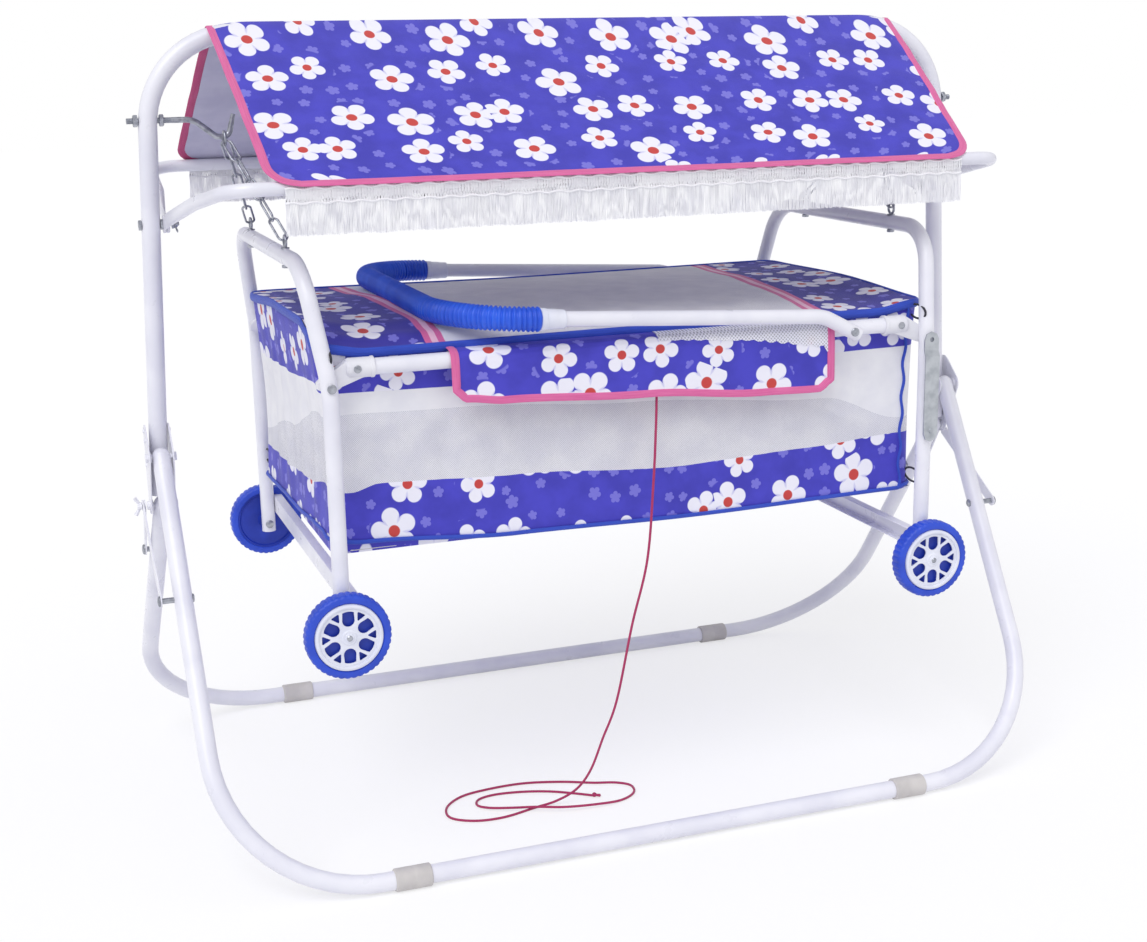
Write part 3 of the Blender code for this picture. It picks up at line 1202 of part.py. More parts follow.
def build_flap():
    """The printed flap that hangs over the front rail."""
    face = FLAP_FACE_Y
    over = RAIL_Z + BASKET_TUBE_RADIUS + RUNNING_GAP
    outer, top = face + FLAP_WALL, over + FLAP_WALL
    lip = TUB_Y + RUNNING_GAP
    outline = [
        (-outer, FLAP_BOTTOM_Z), (-face, FLAP_BOTTOM_Z), (-face, over - BASKET_TUBE_RADIUS / 2),
        (-face + BASKET_TUBE_RADIUS / 2, over), (-lip, over), (-lip, top),
        (-face + BASKET_TUBE_RADIUS / 2 - FLAP_WALL / 2, top),
        (-outer, over - BASKET_TUBE_RADIUS / 2 + FLAP_WALL / 2),
    ]
    middle = (FLAP_LEFT_X + FLAP_RIGHT_X) / 2
    flap = plate("front_flap", [outline], FLAP_RIGHT_X - FLAP_LEFT_X, facing_x(middle))
    bottom = FLAP_BOTTOM_Z + FLAP_CORNER_RADIUS
    radius = FLAP_CORNER_RADIUS
    keep = plate("keep", [hull_outline([
        (FLAP_LEFT_X + radius, bottom, radius), (FLAP_RIGHT_X - radius, bottom, radius),
        (FLAP_RIGHT_X - radius, top + radius, radius), (FLAP_LEFT_X + radius, top + radius, radius),
    ], 3)], 2 * (outer - lip + CUT_OVERRUN), facing_y(-(outer + lip) / 2))
    return finish(combine(flap, [keep], "INTERSECT"), "print_cloth")


def build_board():
    """The stiff board on the tub's floor."""
    half_x = TUB_FLOOR_X - TUB_WALL - BOARD_EDGE_GAP
    half_y = TUB_Y - TUB_WALL - BOARD_EDGE_GAP
    middle = TUB_FLOOR_Z + TUB_WALL + CLEARANCE + BOARD_THICKNESS / 2
    outline = rounded_rectangle(half_x, half_y, TUB_CORNER_RADIUS)
    return finish(plate("base_board", [outline], BOARD_THICKNESS, Matrix.Translation((0, 0, middle))), "board")


def build_strap():
    """The swing lock strap: a joggled flat link that hangs from the front right rail bolt."""
    near = strap_face_y()
    far = near + STRAP_THICKNESS
    reach = STRAP_HALF_WIDTH + CUT_OVERRUN
    high = RAIL_BOLT_Z + reach
    low = RAIL_BOLT_Z - STRAP_LENGTH - reach
    knee = RAIL_BOLT_Z - STRAP_JOGGLE_DROP
    drop = knee - STRAP_JOGGLE * 2
    outline = [
        (-near, high), (-near, knee), (-near - STRAP_JOGGLE, drop), (-near - STRAP_JOGGLE, low),
        (-far - STRAP_JOGGLE, low), (-far - STRAP_JOGGLE, drop), (-far, knee), (-far, high),
    ]
    strap = plate("swing_lock_strap", [outline], 2 * reach, facing_x(END_FRAME_X))
    shape = [hull_outline([
        (END_FRAME_X, RAIL_BOLT_Z - STRAP_LENGTH, STRAP_HALF_WIDTH), (END_FRAME_X, RAIL_BOLT_Z, STRAP_HALF_WIDTH),
    ]), ring_outline(END_FRAME_X, RAIL_BOLT_Z, bored(RAIL_BOLT_RADIUS))]
    depth = 2 * (STRAP_JOGGLE + STRAP_THICKNESS + CUT_OVERRUN)
    keep = plate("keep", shape, depth, facing_y(-(near + far) / 2))
    strap = combine(strap, [keep], "INTERSECT")
    pin_z = RAIL_BOLT_Z - STRAP_LENGTH + STRAP_HALF_WIDTH * 0.4
    inner = near + STRAP_JOGGLE
    pin = rod("pin", (END_FRAME_X, -inner - STRAP_THICKNESS / 2, pin_z),
              (END_FRAME_X, -inner - STRAP_THICKNESS - RIVET_HEIGHT, pin_z), RIVET_RADIUS, ROUND_SIDES,
              RIVET_RADIUS * 0.7)
    return finish(combine(strap, [pin]), "grey_steel", (END_FRAME_X, -near, RAIL_BOLT_Z))


def walk(points, spacing):
    """Places at an even spacing along a line of points."""
    total = sum((b - a).length for a, b in zip(points, points[1:]))
    count = max(2, round(total / spacing))
    step = total / count
    places = [points[0].copy()]
    left = step
    for a, b in zip(points, points[1:]):
        length = (b - a).length
        done = 0.0
        while length - done >= left - WELD_DISTANCE and len(places) < count:
            done += left
            places.append(a.lerp(b, done / length))
            left = step
        left -= length - done
    places.append(points[-1].copy())
    return places


def smooth_route(route, count):
    """Evenly spaced places on a smooth curve through the route's points."""
    route = [Vector(place) for place in route]
    ends = [route[0] * 2 - route[1]] + route + [route[-1] * 2 - route[-2]]
    fine = []
    for a, b, c, d in zip(ends, ends[1:], ends[2:], ends[3:]):
        for step in range(12):
            t = step / 12
            fine.append(0.5 * (2 * b + (c - a) * t + (2 * a - 5 * b + 4 * c - d) * t ** 2
                               + (3 * b - a - 3 * c + d) * t ** 3))
    fine.append(route[-1])
    length = sum((b - a).length for a, b in zip(fine, fine[1:]))
    return walk(fine, length / (count - 1))


def build_cord():
    """The loose pull cord from under the flap to its scribble on the floor."""
    cord = tube("pull_cord", smooth_route(CORD_ROUTE, CORD_POINTS), CORD_DIAMETER / 2)
    return finish(as_mesh(cord), "cord_red")


def build_stand():
    """Posts, ridge, hinge plates, legs, floor bars, sleeves, stays and hook rods."""
    build_ridge()
    for side_name, side in SIDES.items():
        build_post(side_name, side)
        build_outer_plate(side_name, side)
        build_inner_plate(side_name, side)
        build_front_stay(side_name, side)
        build_rear_stay(side_name, side)
        build_hook_rod(side_name, side)
        build_canopy_bolt(side_name, side)
        for end_name, end in ENDS.items():
            build_leg(side_name, side, end_name, end)
            build_sleeve(side_name, side, end_name, end)
    for end_name, end in ENDS.items():
        build_floor_bar(end_name, end)


def build_canopy():
    """The canopy's frames and cloth."""
    for end_name, end in ENDS.items():
        build_canopy_frame(end_name, end)
        build_canopy_cloth(end_name, end)


def build_basket():
    """The hanging basket with its wheels, handle, fabric and chains."""
    for side_name, side in SIDES.items():
        build_end_frame(side_name, side)
        build_crossbar(side_name, side)
        build_chains(side_name, side)
        for end_name, end in ENDS.items():
            build_elbow(side_name, side, end_name, end)
    for end_name, end in ENDS.items():
        build_rail(end_name, end)
    for name, end, middle in wheel_places():
        build_tyre(name, middle)
        build_hub(name, end, middle)
    build_handle()
    build_grip()
    build_tub()
    build_cover()
    build_flap()
    build_board()
    build_strap()
    build_cord()


build_stand()
build_canopy()
build_basket()
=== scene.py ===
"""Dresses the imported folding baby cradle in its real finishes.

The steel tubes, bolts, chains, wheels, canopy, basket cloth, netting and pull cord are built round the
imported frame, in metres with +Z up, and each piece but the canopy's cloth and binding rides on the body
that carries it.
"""
import json
import logging
from dataclasses import dataclass
from enum import Enum
from math import asin, atan2, copysign, cos, hypot, pi, radians, sin, sqrt, tan, tau
from typing import Any, Callable, Iterable, Sequence

import bmesh
import bpy
from mathutils import Matrix, Vector, noise

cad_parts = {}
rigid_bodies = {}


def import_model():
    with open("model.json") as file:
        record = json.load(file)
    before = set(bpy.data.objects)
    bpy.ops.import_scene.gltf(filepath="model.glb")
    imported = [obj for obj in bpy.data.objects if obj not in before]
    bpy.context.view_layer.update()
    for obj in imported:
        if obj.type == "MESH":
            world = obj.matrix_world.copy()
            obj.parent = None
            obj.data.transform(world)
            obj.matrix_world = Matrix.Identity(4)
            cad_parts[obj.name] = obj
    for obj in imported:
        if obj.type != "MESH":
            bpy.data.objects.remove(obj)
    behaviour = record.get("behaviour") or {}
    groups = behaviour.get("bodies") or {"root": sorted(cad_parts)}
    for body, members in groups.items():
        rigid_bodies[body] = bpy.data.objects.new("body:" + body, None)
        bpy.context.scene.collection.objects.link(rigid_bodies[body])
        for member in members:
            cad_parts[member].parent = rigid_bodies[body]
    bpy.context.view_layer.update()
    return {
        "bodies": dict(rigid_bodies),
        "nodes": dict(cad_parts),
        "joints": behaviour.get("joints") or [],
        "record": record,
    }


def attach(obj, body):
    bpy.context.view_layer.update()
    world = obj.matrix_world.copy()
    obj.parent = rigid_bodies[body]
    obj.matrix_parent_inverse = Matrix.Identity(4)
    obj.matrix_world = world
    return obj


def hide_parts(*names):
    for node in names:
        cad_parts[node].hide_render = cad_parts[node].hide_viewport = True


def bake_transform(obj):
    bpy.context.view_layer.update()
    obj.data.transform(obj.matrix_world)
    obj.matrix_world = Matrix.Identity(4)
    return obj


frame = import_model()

LOG = logging.getLogger("cradle")

Route = list[Vector]
Place = Sequence[float]
Marks = Sequence[tuple[float, float]]
Surface = Callable[[float, float], Vector]
Shape = bmesh.types.BMesh
Socket = bpy.types.NodeSocket

X_AXIS, Y_AXIS, Z_AXIS = Vector((1, 0, 0)), Vector((0, 1, 0)), Vector((0, 0, 1))
LEFT, RIGHT = -1, 1
FRONT, REAR = -1, 1
SIDES = {"left": LEFT, "right": RIGHT}
ENDS = {"front": FRONT, "rear": REAR}
MM = 0.001
LIMIT_MARGIN = 1e-6

# Counts of steps on round shapes
TUBE_SIDES = 32
WIRE_SIDES = 12
ARC_STEPS = 14
HEX_SIDES = 6
WHEEL_STEPS = 120

# Stand
STAND_TUBE = 0.0127
POST_FOOT_X, POST_HOOK_X = 0.628, 0.608
FRONT_PIVOT_Y, FRONT_PIVOT_Z = 0.03, 0.543
REAR_PIVOT_Z = 0.468
RIDGE_Z = 1.113
HOOK_ROD_Z = 1.000
CANOPY_BOLT_Z = 0.861
POST_BEND = 0.125
RIDGE_JOINT_X = 0.46
FLOOR_BAR_Y = 0.364
FLOOR_BAR_Z = 0.01506
FLOOR_SPAN = {FRONT: 0.6165, REAR: 0.651}
FLOOR_JOINT_X = {FRONT: 0.377, REAR: 0.392}
LEG_BEND = 0.205
SLEEVE_LENGTH = 0.05
SLEEVE_RADIUS = 0.01556

# Basket frame
BASKET_TUBE = 0.011
END_FRAME_X, ARCH_TOP_X = 0.436, 0.457
LEG_Y, ARCH_SHOULDER_Y = 0.2815, 0.236
LEG_FOOT_Z, ARCH_KINK_Z, ARCH_TOP_Z = 0.333, 0.668, 0.823
ARCH_BEND, ARCH_KINK = 0.07, 0.18
RAIL_Y, RAIL_Z, RAIL_END_X = 0.262, 0.69, 0.406
RAIL_BOLT_Z = 0.67
EYE_BOLT_Y, EYE_BOLT_Z = 0.137, 0.8434
EYE_RING, EYE_WIRE = 0.0075, 0.0019
WHEEL_Y, WHEEL_Z, WHEEL_RADIUS = 0.308, 0.346, 0.0575

# Push handle
HANDLE_TUBE = 0.0105
HANDLE_Y = 0.2872
HANDLE_PIVOT_X = 0.31
HANDLE_LINE_Z = 0.711
HANDLE_RISE, HANDLE_REACH = 0.0359, 0.588
HANDLE_BEND = 0.12
HANDLE_KNEE, HANDLE_KNEE_BEND, HANDLE_TAIL = 0.045, 0.06, 0.012
GRIP_START, COLLAR_LENGTH = 0.466, 0.035

# Basket cloth
TUB_TOP_X, TUB_FLOOR_X, TUB_Y = 0.447, 0.44, 0.2476
TUB_TOP_Z, TUB_FLOOR_Z = 0.7205, 0.436
TUB_CORNER = 0.022

# Distances round the basket, from its front left corner, at which the photograph was read
MARKS_ROUND = 2.778
CORNER_MARKS = (0.0, 0.894, 1.389, 2.283)
FRONT_MARK, RIGHT_MARK, REAR_MARK, LEFT_MARK = 0.447, 1.1415, 1.836, 2.53


class Body(str, Enum):
    """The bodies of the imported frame."""

    STAND = "stand"
    FRONT_LEGS = "front_leg_frame"
    REAR_LEGS = "rear_leg_frame"
    FRONT_STAYS = "front_stays"
    REAR_STAYS = "rear_stays"
    CANOPY_FRONT = "canopy_front_arm"
    CANOPY_REAR = "canopy_rear_arm"
    CRADLE = "cradle"
    HANDLE = "push_handle"
    LOCK = "swing_lock"


class Slot(str, Enum):
    """The record's material slots."""

    WHITE_COAT = "white_coat"
    SLEEVE = "sleeve_plastic"
    ELBOW = "elbow_plastic"
    GREY_STEEL = "grey_steel"
    CHAIN_STEEL = "chain_steel"
    BLUE_PLASTIC = "blue_plastic"
    HUB_PLASTIC = "hub_plastic"
    PRINT_CLOTH = "print_cloth"
    NET_CLOTH = "net_cloth"
    BOARD = "board"
    CORD = "cord_red"


# Node settings that many materials share: a smooth range, a mix of colours, a product and a scaled sum
SMOOTH = {"interpolation_type": "SMOOTHSTEP"}
COLOURS = {"data_type": "RGBA", "blend_type": "MIX"}
TIMES = {"operation": "MULTIPLY"}
SCALED = {"operation": "MULTIPLY_ADD"}

LEG_BODY = {FRONT: Body.FRONT_LEGS, REAR: Body.REAR_LEGS}
CANOPY_BODY = {FRONT: Body.CANOPY_FRONT, REAR: Body.CANOPY_REAR}


def linear(code: str) -> tuple[float, float, float, float]:
    """Turns an sRGB colour into Blender's linear one.

    Args:
        code: The colour as a hex value, such as "#4B48C0".

    Returns:
        Red, green, blue and an alpha of 1.
    """
    parts = [int(code[start:start + 2], 16) / 255 for start in (1, 3, 5)]
    red, green, blue = (part / 12.92 if part <= 0.04045 else ((part + 0.055) / 1.055) ** 2.4
                        for part in parts)
    return red, green, blue, 1.0


def node(tree: bpy.types.NodeTree, kind: str, values: dict[Any, Any] | None = None) -> bpy.types.Node:
    """Adds a node with its settings and links.

    Args:
        tree: The node tree to add it to.
        kind: The node's Blender type, without the ShaderNode that each begins with.
        values: A value to set, or a socket to link from, by property name or by input name or number.

    Returns:
        The new node.
    """
    made = tree.nodes.new("ShaderNode" + kind)
    for name, value in (values or {}).items():
        if isinstance(value, Socket):
            tree.links.new(value, made.inputs[name])
        elif isinstance(name, str) and hasattr(made, name):
            setattr(made, name, value)
        else:
            made.inputs[name].default_value = value
    return made


class Tree:
    """A material's node tree."""

    def __init__(self, name: str) -> None:
        """Starts a tree with nothing but the texture coordinates.

        Args:
            name: The material's name.
        """
        self.material = bpy.data.materials.new(name)
        self.material.use_nodes = True
        self.tree = self.material.node_tree
        self.tree.nodes.clear()
        self.coords = self.add("TexCoord")

    def add(self, kind: str, values: dict[Any, Any] | None = None) -> Any:
        """Adds a node to this tree and returns its outputs."""
        return node(self.tree, kind, values).outputs

    def close(self, shader: Socket) -> bpy.types.Material:
        """Leads a shader to the output and returns the material."""
        self.add("OutputMaterial", {"Surface": shader})
        return self.material

    def finish(self, colour: Any, roughness: Any, bump: Any = None, depth: float = 0.0,
               **sockets: Any) -> bpy.types.Material:
        """Closes the tree with a Principled shader.

        Args:
            colour: A socket or a linear colour.
            roughness: A socket or a number.
            bump: A height socket from 0 to 1, if any.
            depth: The height's real depth in metres.
            **sockets: Other values for the shader, by input name with spaces as underscores.

        Returns:
            The finished material.
        """
        values = {"Base Color": colour, "Roughness": roughness}
        values |= {name.replace("_", " "): value for name, value in sockets.items()}
        if bump is not None:
            values["Normal"] = self.add("Bump", {"Strength": 1.0, "Distance": depth, "Height": bump})[0]
        return self.close(self.add("BsdfPrincipled", values)[0])


def clouds(tree: Tree, size: float, detail: float, low: float, high: float, space: str = "Object") -> Socket:
    """A smooth change from 0 to 1 in patches about as large as the size.

    Args:
        tree: The material's tree.
        size: The patches' size in metres.
        detail: How many finer layers the patches have.
        low: The noise that turns to 0.
        high: The noise that turns to 1.
        space: The coordinates they lie in.

    Returns:
        The result's socket.
    """
    patches = tree.add("TexNoise", {"Vector": tree.coords[space], "Scale": 1 / size, "Detail": detail})[0]
    return tree.add("MapRange", {**SMOOTH, 0: patches, 1: low, 2: high})[0]


def waves(tree: Tree, source: Any, rate: float, shape: str = "SINE") -> Socket:
    """Rounded waves from 0 to 1 over a measure, two in each turn of the angle.

    Args:
        tree: The material's tree.
        source: The measure's socket.
        rate: The angle in radians for each unit of it.
        shape: Whether they begin low, as SINE, or high, as COSINE.

    Returns:
        The result's socket.
    """
    for step in ({"operation": "MULTIPLY", 1: rate}, {"operation": shape}, {"operation": "ABSOLUTE"}):
        source = tree.add("Math", {**step, 0: source})[0]
    return source


@dataclass(frozen=True)
class Skin:
    """What every finish has: its name and the two tones that it varies between."""

    name: str
    colour: str
    shade: str

    def tone(self, tree: Tree, share: Socket) -> Socket:
        """The colour at a share of the way from the first tone to the second."""
        return tree.add("Mix", {**COLOURS, 0: share, 6: linear(self.colour), 7: linear(self.shade)})[2]


@dataclass(frozen=True)
class HardSkin(Skin):
    """A hard surface: wide patches change its tone and its gloss, and a fine grain raises it."""

    roughness: float = 0.36
    swing: float = 0.08
    patch: float = 35 * MM
    detail: float = 3.0
    low: float = 0.3
    high: float = 0.7
    gloss_patch: float | None = None
    grain: float = 1.2 * MM
    grain_detail: float = 2.0
    depth: float = 0.03 * MM
    sockets: tuple[tuple[str, float], ...] = ()

    def build(self) -> bpy.types.Material:
        """Makes the material, whose gloss has patches of its own where gloss_patch is set.

        Returns:
            The material.
        """
        tree = Tree(self.name)
        patches = clouds(tree, self.patch, self.detail, self.low, self.high)
        gloss = clouds(tree, self.gloss_patch, 4.0, 0.2, 0.8) if self.gloss_patch else patches
        roughness = tree.add("Math", {**SCALED, 0: gloss, 1: self.swing, 2: self.roughness})[0]
        grain = tree.add("TexNoise", {"Vector": tree.coords["Object"], "Scale": 1 / self.grain,
                                      "Detail": self.grain_detail})[0]
        return tree.finish(self.tone(tree, patches), roughness, grain, self.depth, **dict(self.sockets))


@dataclass(frozen=True)
class PowderCoat(HardSkin):
    """Polyester powder coat on steel: sprayed dry and baked, so glossy with a fine orange peel."""

    name: str = "white_powder_coat"
    colour: str = "#ECECF3"
    shade: str = "#E2E2EC"
    roughness: float = 0.26
    swing: float = 0.1
    patch: float = 90 * MM
    low: float = 0.35
    high: float = 0.65
    gloss_patch: float | None = 30 * MM
    grain: float = 1.8 * MM
    grain_detail: float = 1.0
    depth: float = 0.02 * MM
    sockets: tuple[tuple[str, float], ...] = (("IOR", 1.5), ("Coat_Weight", 0.12), ("Coat_Roughness", 0.15))


@dataclass(frozen=True)
class PlatedSteel(HardSkin):
    """Zinc plated steel: bright grey, a little cloudy from the bath, with duller spots."""

    name: str = "zinc_plated_steel"
    colour: str = "#B9BCC4"
    shade: str = "#8F929C"
    roughness: float = 0.3
    swing: float = 0.14
    patch: float = 6 * MM
    detail: float = 4.0
    high: float = 0.75
    grain: float = 0.75 * MM
    depth: float = 0.01 * MM
    sockets: tuple[tuple[str, float], ...] = (("Metallic", 1.0),)


@dataclass(frozen=True)
class MouldedPlastic(HardSkin):
    """Injection moulded polypropylene or polyethylene: even colour, satin skin, fine flow grain."""

    sockets: tuple[tuple[str, float], ...] = (("IOR", 1.49),)


@dataclass(frozen=True)
class WovenCloth(Skin):
    """Plain woven polyester: two thread directions, a soft sheen and slow changes of tone.

    The real threads are 0.3 mm apart, too fine to show, so they are drawn at the pitch given here.
    """

    pitch: float = 1.1 * MM
    depth: float = 0.12 * MM
    patch: float = 45 * MM
    roughness: float = 0.72

    def threads(self, tree: Tree) -> Socket:
        """The weave's height: the higher of two crossed rows of waves.

        Args:
            tree: The material's tree.

        Returns:
            The height's socket.
        """
        split = tree.add("SeparateXYZ", {0: tree.coords["UV"]})
        rows = [waves(tree, split[axis], pi / self.pitch) for axis in (0, 1)]
        return tree.add("Math", {"operation": "MAXIMUM", 0: rows[0], 1: rows[1]})[0]

    def ground(self, tree: Tree) -> Socket:
        """The cloth's colour before any print."""
        return self.tone(tree, clouds(tree, self.patch, 3.0, 0.3, 0.7, "UV"))

    def build(self) -> bpy.types.Material:
        """Makes the material: its ground under the weave's bump, with a thread sheen.

        Returns:
            The material.
        """
        tree = Tree(self.name)
        return tree.finish(self.ground(tree), self.roughness, self.threads(tree), self.depth,
                           Sheen_Weight=0.15, Sheen_Roughness=0.5)


@dataclass(frozen=True)
class PrintedCloth(WovenCloth):
    """The cloth with a rotary print of plain five-petal flowers, buds and sprigs on its ground."""

    petal: str = "#EEEDF8"
    petal_shade: str = "#D3D2EE"
    eye: str = "#C8403C"
    sprig: str = "#7F7CDB"
    spacing: float = 84 * MM
    radius_share: float = 0.36
    petals: int = 5

    def flowers(self, tree: Tree, offset: float, spacing: float, radius_share: float) -> dict[str, Any]:
        """Masks of one layer of flowers strewn at random.

        Args:
            tree: The material's tree.
            offset: Moves the layer, so that two layers differ.
            spacing: The mean distance between flowers in metres.
            radius_share: A flower's radius as a share of the spacing.

        Returns:
            Sockets for the flower, its eye, the petals' parting lines and the distance.
        """
        moved = tree.add("VectorMath", {"operation": "ADD", 0: tree.coords["UV"],
                                        1: (offset, offset * 2, 0)})[0]
        scaled = tree.add("VectorMath", {"operation": "SCALE", 0: moved, "Scale": 1 / spacing})[0]
        cells = tree.add("TexVoronoi", {"voronoi_dimensions": "2D", "Scale": 1.0, "Randomness": 0.62,
                                        "Vector": scaled})
        local = tree.add("VectorMath", {"operation": "SUBTRACT", 0: scaled, 1: cells["Position"]})[0]
        split, chance = tree.add("SeparateXYZ", {0: local}), tree.add("SeparateColor", {0: cells["Color"]})
        angle = tree.add("Math", {"operation": "ARCTAN2", 0: split[1], 1: split[0]})[0]
        turned_by = tree.add("Math", {**SCALED, 0: chance[0], 1: tau, 2: angle})[0]
        lobe = waves(tree, turned_by, self.petals / 2, "COSINE")
        lobe = tree.add("Math", {"operation": "POWER", 0: lobe, 1: 0.55})[0]
        size = tree.add("Math", {**SCALED, 0: chance[1], 1: 0.35 * radius_share, 2: 0.8 * radius_share})[0]
        outline = tree.add("Math", {**SCALED, 0: lobe, 1: 0.46, 2: 0.54})[0]
        reach = tree.add("Math", {**TIMES, 0: outline, 1: size})[0]
        share = tree.add("Math", {"operation": "DIVIDE", 0: cells["Distance"], 1: reach})[0]
        middle = tree.add("Math", {"operation": "DIVIDE", 0: cells["Distance"], 1: size})[0]
        between = tree.add("MapRange", {**SMOOTH, 0: lobe, 1: 0.62, 2: 0.35})[0]
        outward = tree.add("MapRange", {**SMOOTH, 0: share, 1: 0.45, 2: 0.75})[0]
        return {
            "flower": tree.add("MapRange", {**SMOOTH, 0: share, 1: 1.03, 2: 0.97})[0],
            "eye": tree.add("MapRange", {**SMOOTH, 0: middle, 1: 0.27, 2: 0.23})[0],
            "part": tree.add("Math", {**TIMES, 0: between, 1: outward})[0],
            "distance": cells["Distance"],
        }

    def build(self) -> bpy.types.Material:
        """Makes the material: small sprigs, then large flowers, over the woven ground.

        Returns:
            The material.
        """
        tree = Tree(self.name)
        large = self.flowers(tree, 0.0, self.spacing, self.radius_share)
        small = self.flowers(tree, 0.137, self.spacing * 0.46, self.radius_share * 0.62)
        clear = tree.add("MapRange", {**SMOOTH, 0: large["distance"], 1: self.radius_share * 1.12,
                                      2: self.radius_share * 1.2})[0]
        faint = tree.add("Math", {**TIMES, 0: clear, 1: 0.8})[0]
        sprigs = tree.add("Math", {**TIMES, 0: small["flower"], 1: faint})[0]
        petal = tree.add("Mix", {**COLOURS, 0: large["part"], 6: linear(self.petal),
                                 7: linear(self.petal_shade)})[2]
        colour = self.ground(tree)
        for mask, paint in ((sprigs, linear(self.sprig)), (large["flower"], petal),
                            (large["eye"], linear(self.eye))):
            colour = tree.add("Mix", {**COLOURS, 0: mask, 6: colour, 7: paint})[2]
        return tree.finish(colour, self.roughness, self.threads(tree), self.depth, Sheen_Weight=0.12,
                           Sheen_Roughness=0.5)


@dataclass(frozen=True)
class Netting(WovenCloth):
    """Warp knitted mosquito net: white threads round small holes that the inside shows through.

    The real holes are 1.2 mm across; they are drawn at the pitch given here, so that they show.
    """

    hole: float = 2.6 * MM
    openness: float = 0.5
    veil: float = 0.35
    edge: float = 0.12

    def build(self) -> bpy.types.Material:
        """Makes the material: a lattice of threads whose holes let a share of light through.

        Returns:
            The material.
        """
        tree = Tree(self.name)
        split = tree.add("SeparateXYZ", {0: tree.coords["UV"]})
        diagonals = []
        for sign in (1, -1):
            across = tree.add("Math", {**TIMES, 0: split[1], 1: sign})[0]
            along = tree.add("Math", {"operation": "ADD", 0: split[0], 1: across})[0]
            diagonals.append(waves(tree, along, pi / self.hole))
        gap = tree.add("Math", {"operation": "MINIMUM", 0: diagonals[0], 1: diagonals[1]})[0]
        low, high = 1 - self.openness - self.edge, 1 - self.openness + self.edge
        hole = tree.add("MapRange", {**SMOOTH, 0: gap, 1: low, 2: high})[0]
        clear = tree.add("Math", {**TIMES, 0: hole, 1: 1 - self.veil})[0]
        alpha, height = (tree.add("Math", {"operation": "SUBTRACT", 0: 1.0, 1: part})[0] for part in (clear,
                                                                                                      gap))
        return tree.finish(self.ground(tree), self.roughness, height, self.depth, Alpha=alpha,
                           Sheen_Weight=0.1)


@dataclass(frozen=True)
class TwistedYarn(WovenCloth):
    """Loosely twisted rayon or cotton yarn: slanted strands round it and a soft sheen."""

    lay: float = 2.4 * MM
    plies: int = 3

    def build(self) -> bpy.types.Material:
        """Makes the material: strands wind round the yarn, pale on top, with painted shade darkening the
        grooves between them.

        Returns:
            The material.
        """
        tree = Tree(self.name)
        split = tree.add("SeparateXYZ", {0: tree.coords["UV"]})
        around = tree.add("Math", {**TIMES, 0: split[1], 1: tau * self.plies})[0]
        turn = tree.add("Math", {**SCALED, 0: split[0], 1: tau / self.lay, 2: around})[0]
        strand = waves(tree, turn, 1.0)
        # Painted shade: the colour turns to the darker tone in the grooves between strands.
        between = tree.add("Math", {"operation": "SUBTRACT", 0: 1.0, 1: strand})[0]
        return tree.finish(self.tone(tree, between), self.roughness, strand, self.depth, Sheen_Weight=0.2,
                           Sheen_Roughness=0.4)


@dataclass(frozen=True)
class PressedBoard(Skin):
    """Hardboard with a pale paper face: matt, with faint fibres."""

    name: str = "faced_hardboard"
    colour: str = "#D9D7D6"
    shade: str = "#C8C6C8"
    fibre: float = 3 * MM
    roughness: float = 0.8
    depth: float = 0.05 * MM

    def build(self) -> bpy.types.Material:
        """Makes the material: fibres shift the tone and raise the face a little.

        Returns:
            The material.
        """
        tree = Tree(self.name)
        fibre = tree.add("TexNoise", {"Vector": tree.coords["Object"], "Scale": 1 / self.fibre,
                                      "Detail": 6.0})[0]
        return tree.finish(self.tone(tree, fibre), self.roughness, fibre, self.depth)


